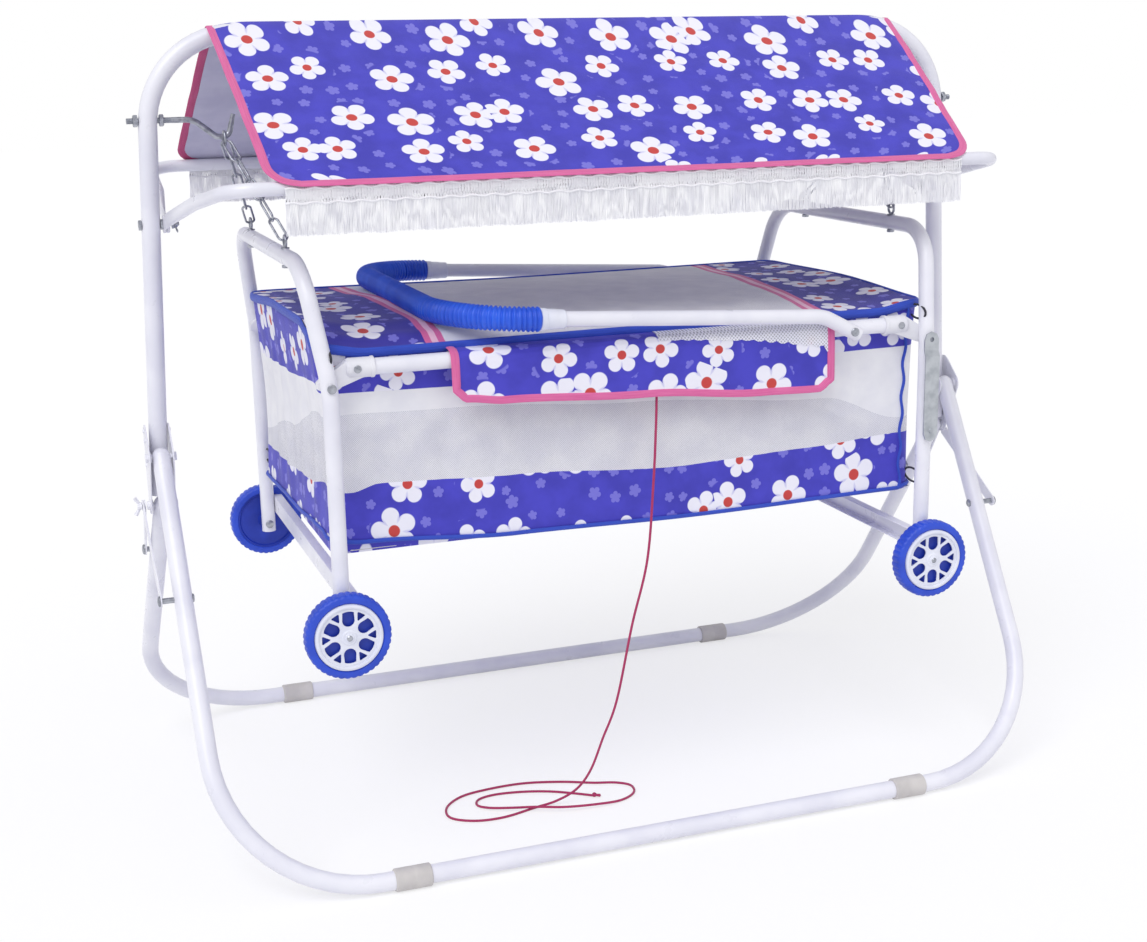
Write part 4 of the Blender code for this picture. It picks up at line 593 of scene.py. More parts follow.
class Finishes:
    """Every finish of the cradle, made once."""

    def __init__(self) -> None:
        """Builds the materials."""
        self.coat = PowderCoat().build()
        self.plated = PlatedSteel().build()
        self.strap = PlatedSteel("satin_zinc_strap", "#C9CDD2", "#B3B8BE", 0.42, patch=14 * MM,
                                 grain=1.75 * MM).build()
        self.sleeve = MouldedPlastic("warm_grey_polypropylene", "#CFCBC8", "#C2BEBC", 0.45).build()
        self.elbow = MouldedPlastic("white_nylon", "#E9E9EE", "#DEDEE6", 0.4).build()
        self.hub = MouldedPlastic("white_polypropylene", "#E8EAF4", "#DADDEC", 0.34).build()
        self.blue = MouldedPlastic("blue_polyethylene", "#2A50D2", "#2345BE", 0.38).build()
        self.hose = MouldedPlastic("blue_corrugated_hose", "#2A63E6", "#2355D4", 0.33).build()
        self.back = MouldedPlastic("blue_wheel_body", "#1D3CB6", "#1833A2", 0.42).build()
        self.print = PrintedCloth("flower_print_polyester", "#4541C4", "#3B37B2").build()
        self.print_dark = PrintedCloth("flower_print_cover", "#3A35A8", "#312C98", spacing=78 * MM).build()
        self.lining = WovenCloth("grey_lilac_lining", "#C9C7DC", "#BBB9D2").build()
        self.binding = WovenCloth("pink_bias_binding", "#E06FA6", "#D65F9A", 0.9 * MM).build()
        # The rear half's binding is the same pink tape made darker: painted shade for the tape seen from
        # inside.
        self.binding_dark = WovenCloth("pink_binding_painted_shade", "#C64A80", "#B93E74", 0.9 * MM).build()
        self.piping = WovenCloth("blue_piping_tape", "#2D4FC6", "#2744B4", 0.9 * MM).build()
        self.white_band = WovenCloth("white_polyester_band", "#F2F2F5", "#E8E8EE").build()
        self.zip_white = WovenCloth("pale_zip_tape", "#F6C9DC", "#EFB7CF", 0.9 * MM).build()
        self.net = Netting("white_side_netting", "#F1F1F7", "#E6E6F0", veil=0.54, openness=0.44).build()
        self.cover_net = Netting("white_cover_netting", "#EFEEF2", "#E4E3EA", veil=0.8,
                                 openness=0.4).build()
        self.fringe = WovenCloth("white_fringe_yarn", "#FAFAFC", "#F0F0F5", 1.4 * MM, roughness=0.6).build()
        # The cord's darker second tone is painted shade for the grooves between its strands.
        self.cord = TwistedYarn("crimson_twisted_cord", "#C2356B", "#8E1F4C", depth=0.25 * MM).build()
        self.tie = WovenCloth("black_elastic_tie", "#2B2A38", "#1E1D29").build()
        self.board = PressedBoard().build()


def rounded_route(corners: Sequence[Place], radii: Sequence[float]) -> Route:
    """Rounds the inner corners of a broken line.

    Args:
        corners: The line's points.
        radii: One bend radius for each point between the first and the last.

    Returns:
        The points of the rounded line.
    """
    points = [Vector(corner) for corner in corners]
    route = [points[0]]
    for before, corner, after, radius in zip(points, points[1:], points[2:], radii):
        back, ahead = (before - corner).normalized(), (after - corner).normalized()
        half = back.angle(ahead) / 2
        if half > 1.565:
            route.append(corner)
            continue
        centre = corner + (back + ahead).normalized() * (radius / sin(half))
        start = corner + back * (radius / tan(half)) - centre
        finish = corner + ahead * (radius / tan(half)) - centre
        first, last = start.normalized(), finish.normalized()
        route += [centre + first.slerp(last, step / ARC_STEPS) * radius for step in range(ARC_STEPS + 1)]
    return route + [points[-1]]


def travelled(route: Route) -> list[float]:
    """The distance along a route at each of its points.

    Args:
        route: The route.

    Returns:
        One distance for each point, from 0.
    """
    total = [0.0]
    for before, after in zip(route, route[1:]):
        total.append(total[-1] + (after - before).length)
    return total


def resampled(route: Route, count: int) -> Route:
    """Places points at even distances along a route.

    Args:
        route: The route.
        count: The number of steps.

    Returns:
        The route with count + 1 points.
    """
    marks, found, index = travelled(route), [], 0
    for step in range(count + 1):
        reach = marks[-1] * step / count
        while index < len(route) - 2 and marks[index + 1] < reach:
            index += 1
        share = (reach - marks[index]) / max(marks[index + 1] - marks[index], 1e-9)
        found.append(route[index].lerp(route[index + 1], min(share, 1.0)))
    return found


def frames_along(route: Route, lead: Vector | None = None, closed: bool = False) -> list[Matrix]:
    """Frames whose Z runs along a route.

    Args:
        route: The route.
        lead: The direction that Y keeps nearest to, or None to carry Y along without twist.
        closed: Whether the route is a ring.

    Returns:
        One frame for each point.
    """
    count, frames, normal, last = len(route), [], lead, None
    for index, place in enumerate(route):
        after = route[(index + 1) % count] if closed else route[min(index + 1, count - 1)]
        before = route[(index - 1) % count] if closed else route[max(index - 1, 0)]
        tangent = (after - before).normalized()
        if lead is None:
            if last is None:
                normal = tangent.orthogonal()
            else:
                normal = last.rotation_difference(tangent) @ normal
            last = tangent
        level = (normal - tangent * normal.dot(tangent)).normalized()
        side = level.cross(tangent)
        frame = Matrix((side, level, tangent)).transposed().to_4x4()
        frame.translation = place
        frames.append(frame)
    return frames


def loft(frames: Sequence[Matrix], sizes: Marks, sides: int = TUBE_SIDES,
         closed: bool = False) -> Shape:
    """Extrudes a circle from frame to frame, at its own width and height in each.

    Args:
        frames: The frames to pass through.
        sizes: Half width and half height in each frame.
        sides: The circle's number of sides.
        closed: Whether the last frame joins the first.

    Returns:
        The closed mesh, with UV in metres along it and in turns round it.
    """
    mesh = bmesh.new()
    layer = mesh.loops.layers.uv.new("UVMap")
    ring = bmesh.ops.create_circle(mesh, cap_ends=not closed, segments=sides, radius=1.0)["verts"]
    around = {vert: atan2(vert.co.y, vert.co.x) / tau % 1.0 for vert in ring}
    along = dict.fromkeys(ring, 0.0)
    shapes = [frame @ Matrix.Diagonal((*size, 1.0, 1.0)) for frame, size in zip(frames, sizes)]
    bmesh.ops.transform(mesh, matrix=shapes[0], verts=ring)
    edges = first = list(mesh.edges)
    reach = 0.0
    for before, after in zip(shapes, shapes[1:]):
        reach += (after.translation - before.translation).length
        grown = bmesh.ops.extrude_edge_only(mesh, edges=edges)["geom"]
        fresh = [item for item in grown if isinstance(item, bmesh.types.BMVert)]
        known = set(fresh)
        turns = {vert: around[next(edge.other_vert(vert) for edge in vert.link_edges
                                   if edge.other_vert(vert) not in known)] for vert in fresh}
        around.update(turns)
        along.update(dict.fromkeys(fresh, reach))
        bmesh.ops.transform(mesh, matrix=after @ before.inverted(), verts=fresh)
        edges = [item for item in grown if isinstance(item, bmesh.types.BMEdge)
                 and all(vert in known for vert in item.verts)]
    if closed:
        bmesh.ops.bridge_loops(mesh, edges=first + edges)
    else:
        bmesh.ops.holes_fill(mesh, edges=edges, sides=0)
    for face in mesh.faces:
        spread = {around[loop.vert] for loop in face.loops}
        wraps = len(face.loops) == 4 and max(spread) - min(spread) > 0.5
        for loop in face.loops:
            turn = around[loop.vert]
            loop[layer].uv = (along[loop.vert], turn + 1.0 if wraps and turn < 0.5 else turn)
    return mesh


def tube(route: Route, radius: float, lead: Vector | None = None, shares: Sequence[float] | None = None,
         sides: int = TUBE_SIDES, closed: bool = False, flat: float = 1.0) -> Shape:
    """A round or flattened tube along a route.

    Args:
        route: The middle line.
        radius: The half width.
        lead: The direction of the section's height, or None where it may turn freely.
        shares: The radius at each point as a share of the whole.
        sides: The section's number of sides.
        closed: Whether the tube is a ring.
        flat: The height as a share of the width.

    Returns:
        The mesh.
    """
    shares = shares or [1.0] * len(route)
    sizes = [(radius * share, radius * share * flat) for share in shares]
    return loft(frames_along(route, lead, closed), sizes, sides, closed)


def turned(place: Place, axis: Vector, profile: Marks,
           sides: int = TUBE_SIDES) -> Shape:
    """A part turned on a lathe, or a nut where the sides are few.

    Args:
        place: Where the axis starts.
        axis: The way it runs.
        profile: Pairs of distance along the axis and radius.
        sides: The number of sides.

    Returns:
        The mesh.
    """
    axis = axis.normalized()
    lead = axis.orthogonal().normalized()
    frames = []
    for reach, _ in profile:
        frame = Matrix((lead.cross(axis), lead, axis)).transposed().to_4x4()
        frame.translation = Vector(place) + axis * reach
        frames.append(frame)
    return loft(frames, [(max(radius, 1e-5), max(radius, 1e-5)) for _, radius in profile], sides)


def bolt_head(place: Place, axis: Vector, radius: float, height: float) -> Shape:
    """A round, slightly domed bolt or rivet head."""
    shares = ((0, 0.9), (0.08, 1.0), (0.42, 1.0), (0.72, 0.84), (0.92, 0.5), (1.0, 0.0))
    return turned(place, axis, [(height * up, radius * out) for up, out in shares], 20)


def hex_nut(place: Place, axis: Vector, radius: float, height: float) -> Shape:
    """A hexagon nut with chamfered corners."""
    shares = ((0, 0.55), (0, 0.9), (0.16, 1.0), (0.84, 1.0), (1.0, 0.9), (1.0, 0.5))
    return turned(place, axis, [(height * up, radius * out) for up, out in shares], HEX_SIDES)


def plate(outlines: Sequence[Sequence[Place]], thickness: float, frame: Matrix,
          edge: float = 0.5 * MM) -> Shape:
    """A flat plate with holes and softened edges, cut to outlines in a frame.

    Args:
        outlines: The outer outline and those of the holes, as pairs of across and up.
        thickness: The plate's thickness.
        frame: The plate's place, with its face towards the frame's Z.
        edge: The edges' rounding.

    Returns:
        The mesh.
    """
    curve = bpy.data.curves.new("plate", "CURVE")
    curve.dimensions, curve.fill_mode = "2D", "BOTH"
    curve.extrude, curve.bevel_depth, curve.offset = thickness / 2 - edge, edge, -edge
    curve.bevel_resolution = 1
    for outline in outlines:
        spline = curve.splines.new("POLY")
        spline.points.add(len(outline) - 1)
        for point, place in zip(spline.points, outline):
            point.co = (place[0], place[1], 0, 1)
        spline.use_cyclic_u = True
    holder = bpy.data.objects.new("plate", curve)
    bpy.context.collection.objects.link(holder)
    flat = bpy.data.meshes.new_from_object(holder.evaluated_get(bpy.context.evaluated_depsgraph_get()))
    mesh = bmesh.new()
    mesh.from_mesh(flat)
    bmesh.ops.remove_doubles(mesh, verts=mesh.verts, dist=1e-6)
    bmesh.ops.transform(mesh, matrix=frame, verts=mesh.verts)
    bpy.data.objects.remove(holder)
    bpy.data.curves.remove(curve)
    bpy.data.meshes.remove(flat)
    return mesh


def sheet_grid(spans: Sequence[float], steps: tuple[int, int], surface: Surface,
               zones: Callable[[float, float], int] | None = None) -> Shape:
    """A sheet of cloth laid over a surface, with UV in metres.

    Args:
        spans: The range of the first and of the second measure, as four numbers.
        steps: The number of cells in each.
        surface: The place for each pair of measures.
        zones: Which material lies at a pair of measures.

    Returns:
        The mesh.
    """
    mesh = bmesh.new()
    layer = mesh.loops.layers.uv.new("UVMap")
    bmesh.ops.create_grid(mesh, x_segments=steps[0], y_segments=steps[1], size=0.5)
    first, last, low, high = spans
    marks = {vert: (first + (last - first) * (vert.co.x + 0.5), low + (high - low) * (vert.co.y + 0.5))
             for vert in mesh.verts}
    for vert, mark in marks.items():
        vert.co = surface(*mark)
    for face in mesh.faces:
        for loop in face.loops:
            loop[layer].uv = marks[loop.vert]
        if zones:
            middle = [sum(marks[vert][axis] for vert in face.verts) / len(face.verts) for axis in (0, 1)]
            face.material_index = zones(*middle)
    bmesh.ops.remove_doubles(mesh, verts=mesh.verts, dist=1e-5)
    return mesh


def merged(parts: Iterable[Shape]) -> Shape:
    """Joins meshes into the first and frees the others.

    Args:
        parts: The meshes.

    Returns:
        The first of them.
    """
    whole, *others = parts
    for part in others:
        holder = bpy.data.meshes.new("part")
        part.to_mesh(holder)
        part.free()
        whole.from_mesh(holder)
        bpy.data.meshes.remove(holder)
    return whole


def read_off(marks: Marks, place: float) -> float:
    """Reads a value off a line of marks, smoothed between them.

    Args:
        marks: Pairs of a place and its value, in order.
        place: Where to read.

    Returns:
        The value there.
    """
    if place <= marks[0][0]:
        return marks[0][1]
    for (start, low), (end, high) in zip(marks, marks[1:]):
        if place <= end:
            share = (place - start) / (end - start)
            return low + (high - low) * share * share * (3 - 2 * share)
    return marks[-1][1]


def turns(count: int) -> list[float]:
    """The angles of evenly spaced places round a circle."""
    return [tau * step / count for step in range(count)]


def band_at(limits: Sequence[float], place: float) -> int:
    """The number of the band between two limits that a place lies in."""
    return max(number for number in range(len(limits) - 1) if place >= limits[number] - LIMIT_MARGIN)


def lay_uv(mesh: Shape, rule: Callable[[Vector, Vector], Place]) -> float:
    """Lays UV over a sheet of cloth.

    Args:
        mesh: The sheet.
        rule: Makes the UV of a vertex's place and its present UV.

    Returns:
        The sheet's area.
    """
    layer = mesh.loops.layers.uv.active
    for face in mesh.faces:
        for loop in face.loops:
            loop[layer].uv = rule(loop.vert.co, loop[layer].uv)
    return sum(face.calc_area() for face in mesh.faces)


def face_out(mesh: Shape, rule: Callable[[bmesh.types.BMFace], float]) -> None:
    """Turns a sheet over where its faces mostly look inwards, which the rule gives as less than 0."""
    if sum(rule(face) for face in mesh.faces) < 0:
        bmesh.ops.reverse_faces(mesh, faces=mesh.faces)


def ripple(first: float, second: float, size: float, seed: float) -> float:
    """Smooth noise from -1 to 1 whose waves are as long as the size."""
    return noise.noise(Vector((first / size, second / size, seed)))


def make_piece(name: str, mesh: Shape, materials: Any, slot: Slot, body: Body | str | None,
               replaces: Sequence[str] = (), crease: float = 0.6,
               keep_normals: bool = False) -> bpy.types.Object:
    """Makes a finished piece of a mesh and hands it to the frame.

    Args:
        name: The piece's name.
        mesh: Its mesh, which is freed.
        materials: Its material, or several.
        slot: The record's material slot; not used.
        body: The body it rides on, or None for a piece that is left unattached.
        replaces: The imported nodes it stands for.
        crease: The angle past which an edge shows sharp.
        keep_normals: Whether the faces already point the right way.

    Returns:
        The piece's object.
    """
    if not keep_normals:
        bmesh.ops.recalc_face_normals(mesh, faces=mesh.faces)
    for face in mesh.faces:
        face.smooth = True
    for edge in mesh.edges:
        if len(edge.link_faces) == 2 and edge.calc_face_angle(0.0) > crease:
            edge.smooth = False
    data = bpy.data.meshes.new(name)
    mesh.to_mesh(data)
    mesh.free()
    for material in materials if isinstance(materials, (list, tuple)) else [materials]:
        data.materials.append(material)
    piece = bpy.data.objects.new(name, data)
    bpy.context.collection.objects.link(piece)
    if body:
        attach(piece, str(body.value if isinstance(body, Body) else body))
    if replaces:
        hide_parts(*replaces)
    LOG.info("%s: %d faces", name, len(data.polygons))
    return piece


def dress_node(name: str, material: bpy.types.Material, rounding: float = 0.6 * MM) -> None:
    """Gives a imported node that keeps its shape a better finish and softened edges.

    Args:
        name: The node's name.
        material: Its new material.
        rounding: The width of its softened edges.
    """
    piece = frame["nodes"][name]
    for slot in piece.material_slots:
        slot.material = material
    weld = piece.modifiers.new("weld", "WELD")
    weld.merge_threshold = 0.00002
    soften = piece.modifiers.new("soften", "BEVEL")
    soften.width, soften.segments, soften.limit_method = rounding, 2, "ANGLE"
    soften.angle_limit = radians(38)
    soften.harden_normals = False
    LOG.info("%s: finish on the packed node", name)


def post_x(z: float) -> float:
    """The middle of a leaning post at a height, as a distance from the middle of the cradle."""
    return POST_FOOT_X + (POST_HOOK_X - POST_FOOT_X) * (z - FRONT_PIVOT_Z) / (HOOK_ROD_Z - FRONT_PIVOT_Z)


@dataclass
class Stand:
    """The folding stand: two posts and a ridge, two leg loops, plates, stays and sleeves."""

    finishes: Finishes
    foot_z: float = 0.4825
    bolt_radius: float = 0.0075
    bolt_height: float = 0.004
    stay_reaches: tuple[float, float] = (0.206, 0.106)
    rear_stay_face: float = 0.6522
    hook_line: Marks = (
        (0.636, HOOK_ROD_Z), (0.548, HOOK_ROD_Z), (0.517, 0.976), (0.501, 0.976), (0.493, 1.006))
    hook_bends: tuple[float, ...] = (0.03, 0.01, 0.01)
    hook_nuts: tuple[tuple[float, int], ...] = ((0.6213, 1), (0.5929, -1))
    hook_radius: float = 0.004
    thread_step: float = 0.0004
    thread_steps: int = 150
    cap_shares: Marks = ((1.0, 0.12), (0.88, 0.55), (0.55, 0.86), (0.2, 0.99))

    def build(self) -> None:
        """Builds every part of the stand."""
        for name, side in SIDES.items():
            self.post(name, side)
            self.hook_rod(name, side)
        ridge = tube([Vector((-RIDGE_JOINT_X, 0, RIDGE_Z)), Vector((RIDGE_JOINT_X, 0, RIDGE_Z))], STAND_TUBE,
                     Z_AXIS)
        make_piece("ridge_steel_tube", ridge, self.finishes.coat, Slot.WHITE_COAT, Body.STAND, ["ridge_tube"])
        for name, end in ENDS.items():
            self.leg_loop(name, end)
        for side_name in SIDES:
            for kind in ("hinge_plate_outer", "hinge_plate_inner"):
                dress_node(f"{side_name}_{kind}", self.finishes.coat)
            for kind in ("front_stay", "rear_stay"):
                dress_node(f"{side_name}_{kind}", self.finishes.coat, 0.4 * MM)

    def post(self, name: str, side: int) -> None:
        """Builds a post with its top bend.

        Args:
            name: The side's name.
            side: The side's sign.
        """
        corners = [(side * post_x(self.foot_z), 0, self.foot_z), (side * post_x(RIDGE_Z), 0, RIDGE_Z),
                   (side * RIDGE_JOINT_X, 0, RIDGE_Z)]
        route = rounded_route(corners, [POST_BEND])
        steel = tube(route, STAND_TUBE, Y_AXIS)
        make_piece(f"{name}_post_tube", steel, self.finishes.coat, Slot.WHITE_COAT, Body.STAND,
                   [f"{name}_post"])

    def hook_rod(self, name: str, side: int) -> None:
        """Builds the threaded rod through a post, with two nuts and its open hook.

        Args:
            name: The side's name.
            side: The side's sign.
        """
        route = rounded_route([(side * x, 0, z) for x, z in self.hook_line], self.hook_bends)
        end = self.hook_line[0][0]
        thread = [Vector((side * (end - self.thread_step * step), 0, HOOK_ROD_Z))
                  for step in range(self.thread_steps)]
        shares = [1.0 - 0.1 * (step % 3 == 0) for step in range(self.thread_steps)]
        shares[0] = 0.82
        shares += [1.0] * (len(route) - 2) + [0.72]
        rod = tube(thread + route[1:], self.hook_radius, Y_AXIS, shares, 16)
        nuts = [hex_nut((side * x, 0, HOOK_ROD_Z), X_AXIS * side * way, 0.0085, 0.006)
                for x, way in self.hook_nuts]
        make_piece(f"{name}_threaded_hook", merged([rod] + nuts), self.finishes.plated, Slot.CHAIN_STEEL,
                   Body.STAND, [f"{name}_hook_rod"])

    def leg_loop(self, name: str, end: int) -> None:
        """Builds two bent legs, the floor bar between them and the sleeves over the joints.

        Args:
            name: The end's name.
            end: The end's sign.
        """
        body = LEG_BODY[end]
        pivot = Vector((POST_FOOT_X, -FRONT_PIVOT_Y, FRONT_PIVOT_Z) if end == FRONT else
                       (POST_FOOT_X, 0, REAR_PIVOT_Z))
        corner = Vector((FLOOR_SPAN[end], end * FLOOR_BAR_Y, FLOOR_BAR_Z))
        joint = FLOOR_JOINT_X[end]
        bar = tube([Vector((-joint, corner.y, corner.z)), Vector((joint, corner.y, corner.z))], STAND_TUBE,
                   Z_AXIS)
        make_piece(f"{name}_floor_tube", bar, self.finishes.coat, Slot.WHITE_COAT, body,
                   [f"{name}_floor_bar"])
        up = (pivot - corner).normalized()
        run = rounded_route([pivot, corner, (joint + 0.0003, corner.y, corner.z)], [LEG_BEND])
        top = [pivot + up * STAND_TUBE * reach for reach, _ in self.cap_shares]
        shares = [share for _, share in self.cap_shares] + [1.0] * len(run)
        for side_name, side in SIDES.items():
            turn = Vector((side, 1, 1))
            route = [place * turn for place in top + run]
            leg = tube(route, STAND_TUBE, (pivot - corner).cross(X_AXIS) * turn, shares)
            seat = (pivot - up * self.stay_reaches[0 if end == FRONT else 1]) * turn
            outer = self.rear_stay_face
            if end == FRONT:
                stay = frame["nodes"][f"{side_name}_{name}_stay"]
                outer = max(abs((stay.matrix_world @ vert.co).x) for vert in stay.data.vertices)
            steel = [turned(seat, X_AXIS * side, [(0, 0.004), (outer - abs(seat.x) - 0.0021, 0.004)], 16),
                     bolt_head((side * (outer + 0.0001), seat.y, seat.z), X_AXIS * side, self.bolt_radius,
                               self.bolt_height),
                     bolt_head(seat - X_AXIS * side * STAND_TUBE * 0.96, X_AXIS * -side, 0.006, 0.003)]
            make_piece(f"{name}_{side_name}_leg_tube", leg, self.finishes.coat, Slot.WHITE_COAT, body,
                       [f"{name}_leg_{side_name}"])
            make_piece(f"{name}_{side_name}_leg_bolt", merged(steel), self.finishes.plated, Slot.GREY_STEEL,
                       body)
            self.sleeve(name, side_name, (side * joint, corner.y, corner.z), body)

    def sleeve(self, name: str, side_name: str, place: Place, body: Body) -> None:
        """Builds the moulded sleeve over a floor joint: a round pipe with a flat foot.

        Args:
            name: The end's name.
            side_name: The side's name.
            place: The joint's place.
            body: The leg loop's body.
        """
        half = SLEEVE_LENGTH / 2
        profile = [(0, 0.0132), (0, SLEEVE_RADIUS - 0.0012), (0.0012, SLEEVE_RADIUS),
                   (half - 0.001, SLEEVE_RADIUS),
                   (half, SLEEVE_RADIUS - 0.0003), (half + 0.001, SLEEVE_RADIUS),
                   (SLEEVE_LENGTH - 0.0012, SLEEVE_RADIUS), (SLEEVE_LENGTH, SLEEVE_RADIUS - 0.0012),
                   (SLEEVE_LENGTH, 0.0132)]
        pipe = turned(Vector(place) - X_AXIS * half, X_AXIS, profile, 48)
        for vert in pipe.verts:
            vert.co.z = max(vert.co.z, 0.0002)
        make_piece(f"{name}_{side_name}_floor_sleeve", pipe, self.finishes.sleeve, Slot.SLEEVE, body,
                   [f"{name}_sleeve_{side_name}"])


@dataclass
class CanopyFrames:
    """The two bent tubes that hold the canopy out, on bolts through the posts."""

    finishes: Finishes
    tube_radius: float = 0.009
    hem_place: tuple[float, float] = (0.2758, 0.9226)
    eye_radius: float = 0.012
    eye_wall: float = 0.004
    tongue_reach: float = 0.047
    arm_rise: float = 0.006
    corner_x: tuple[float, float] = (0.548, 0.583)

    def build(self) -> None:
        """Builds both frames and both bolts."""
        for name, end in ENDS.items():
            self.frame(name, end)
        for name, side in SIDES.items():
            self.bolt(name, side)

    def eye_x(self, end: int) -> float:
        """How far out a frame's eyes lie."""
        return post_x(CANOPY_BOLT_Z) - 0.0177 - (0 if end == FRONT else 0.0046)

    def frame(self, name: str, end: int) -> None:
        """Builds one frame: a bent tube that is pressed flat at its two eyes.

        Args:
            name: The end's name.
            end: The end's sign.
        """
        run_y, run_z = self.hem_place
        rise = atan2(run_z - CANOPY_BOLT_Z, run_y)
        corner = self.corner_x[0 if end == FRONT else 1]

        def arm(reach: float, lift: float = 0.0) -> tuple[float, float]:
            """A place on an arm, as its Y and its Z."""
            return (end * (reach * cos(rise) - lift * sin(rise)),
                    CANOPY_BOLT_Z + reach * sin(rise) + lift * cos(rise))

        length = hypot(run_z - CANOPY_BOLT_Z, run_y)
        middle_x = (self.eye_x(end) + corner) / 2
        half = [(self.eye_x(end), *arm(0.0)), (self.eye_x(end), *arm(self.tongue_reach * 0.8)),
                (middle_x, *arm(length / 2, self.arm_rise)), (corner, end * run_y, run_z)]
        corners = [(-x, y, z) for x, y, z in half] + list(reversed(half))
        route = rounded_route(corners, [0.08, 0.15, 0.045, 0.045, 0.15, 0.08])
        marks = travelled(route)
        sizes = []
        for reach in marks:
            near = min(reach, marks[-1] - reach)
            press = read_off([(0.0, 0.0), (0.036, 0.0), (0.058, 1.0)], near)
            swell = read_off([(0.0, 1.15), (0.036, 1.12), (0.058, 1.0)], near)
            sizes.append((self.eye_wall / 2 + (self.tube_radius - self.eye_wall / 2) * press,
                          self.tube_radius * swell))
        frames = frames_along(route, Z_AXIS)
        body = CANOPY_BODY[end]
        make_piece(f"canopy_{name}_hoop", loft(frames, sizes), self.finishes.coat, Slot.WHITE_COAT, body,
                   [f"canopy_frame_{name}"])
        eyes = [turned((side * (self.eye_x(end) - self.eye_wall / 2), 0, CANOPY_BOLT_Z), X_AXIS * side,
                       [(0, self.eye_radius - 0.0006), (0.0006, self.eye_radius),
                        (self.eye_wall - 0.0006, self.eye_radius), (self.eye_wall, self.eye_radius - 0.0006)])
                for side in SIDES.values()]
        make_piece(f"canopy_{name}_eyes", merged(eyes), self.finishes.coat, Slot.WHITE_COAT, body)

    def bolt(self, name: str, side: int) -> None:
        """Builds the bolt through a post, with its head, spacer and wing nut.

        Args:
            name: The side's name.
            side: The side's sign.
        """
        outer = post_x(CANOPY_BOLT_Z) + STAND_TUBE
        inner = post_x(CANOPY_BOLT_Z) - STAND_TUBE
        wing = post_x(CANOPY_BOLT_Z) - 0.0277
        place = Vector((side * outer, 0, CANOPY_BOLT_Z))
        shaft_length = outer - wing + 0.01
        shaft = turned(place + X_AXIS * side * 0.001, X_AXIS * -side, [(0, 0.003), (shaft_length, 0.003),
                                                                    (shaft_length + 0.001, 0.0022)], 16)
        washer = turned(Vector((side * inner, 0, CANOPY_BOLT_Z)), X_AXIS * -side,
                        [(0, 0.0072), (0.0028, 0.0072), (0.0028, 0.0066)], 24)
        nut = turned(Vector((side * wing, 0, CANOPY_BOLT_Z)), X_AXIS * -side,
                     [(0, 0.0068), (0.002, 0.0066), (0.0075, 0.0048), (0.008, 0.004)], 24)
        wings = []
        for turn in (-1, 1):
            start = Vector((side * (wing - 0.003), turn * 0.004, CANOPY_BOLT_Z))
            route = rounded_route([start, start + Vector((-side * 0.003, 0, turn * 0.008)),
                                   start + Vector((-side * 0.004, turn * 0.001, turn * 0.0115))], [0.006])
            shares = [1.0 + 0.4 * step / len(route) for step in range(len(route))]
            shares[-1] = 0.6
            wings.append(tube(route, 0.0028, X_AXIS, shares, 16, flat=0.42))
        parts = [shaft, hex_nut(place, X_AXIS * side, 0.0075, 0.004), washer, nut] + wings
        make_piece(f"{name}_canopy_wing_bolt", merged(parts), self.finishes.plated, Slot.CHAIN_STEEL,
                   Body.STAND,
                   [f"{name}_canopy_bolt"])


@dataclass
class Hanging:
    """A ring on each hook, from which two link chains spread to eye bolts in the end frame."""

    finishes: Finishes
    ring_x: float = 0.507
    ring_z: float = 0.9734
    ring_radius: float = 0.0092
    ring_wire: float = 0.002
    link_wire: float = 0.0016
    link_half_width: float = 0.0062
    links: int = 5

    def build(self) -> None:
        """Builds both sides."""
        for name, side in SIDES.items():
            self.chains(name, side)

    def oval(self, middle: Vector, normal: Vector, up: Vector, half_length: float, half_width: float,
             wire: float) -> Shape:
        """A closed wire link.

        Args:
            middle: Its middle.
            normal: The way it faces.
            up: The way it is long.
            half_length: Half its length to the wire's middle.
            half_width: Half its width to the wire's middle.
            wire: The wire's radius.

        Returns:
            The mesh.
        """
        normal, up = normal.normalized(), up.normalized()
        across = up.cross(normal)
        straight = max(half_length - half_width, 0.0)
        route = []
        for angle in turns(28):
            lift = straight if sin(angle) >= 0 else -straight
            route.append(middle + across * cos(angle) * half_width
                         + up * (sin(angle) * half_width + lift))
        return tube(route, wire, normal, sides=WIRE_SIDES, closed=True)

    def chains(self, name: str, side: int) -> None:
        """Builds the ring and both chains of a side.

        Args:
            name: The side's name.
            side: The side's sign.
        """
        centre = Vector((side * self.ring_x, 0, self.ring_z))
        parts = [self.oval(centre, X_AXIS, Z_AXIS, self.ring_radius, self.ring_radius, self.ring_wire)]
        for end in (FRONT, REAR):
            eye = Vector((side * ARCH_TOP_X, end * EYE_BOLT_Y, EYE_BOLT_Z))
            toward = (centre - eye) * Vector((0, 1, 1))
            bottom = eye + toward.normalized() * (EYE_RING - EYE_WIRE - self.link_wire - 0.0012)
            along = (bottom - centre).normalized()
            start = centre + along * (self.ring_radius - self.ring_wire)
            pitch = (bottom - start).length / self.links
            level = along.cross(X_AXIS).normalized()
            upright = along.cross(level).normalized()
            for number in range(self.links):
                middle = start + along * (pitch * (number + 0.5) - 0.0006)
                parts.append(self.oval(middle, upright if number % 2 else level, along,
                                       pitch / 2 + self.link_wire * 0.7, self.link_half_width,
                                       self.link_wire))
        make_piece(f"{name}_link_chains", merged(parts), self.finishes.plated, Slot.CHAIN_STEEL, Body.CRADLE,
                   [f"{name}_chains"])


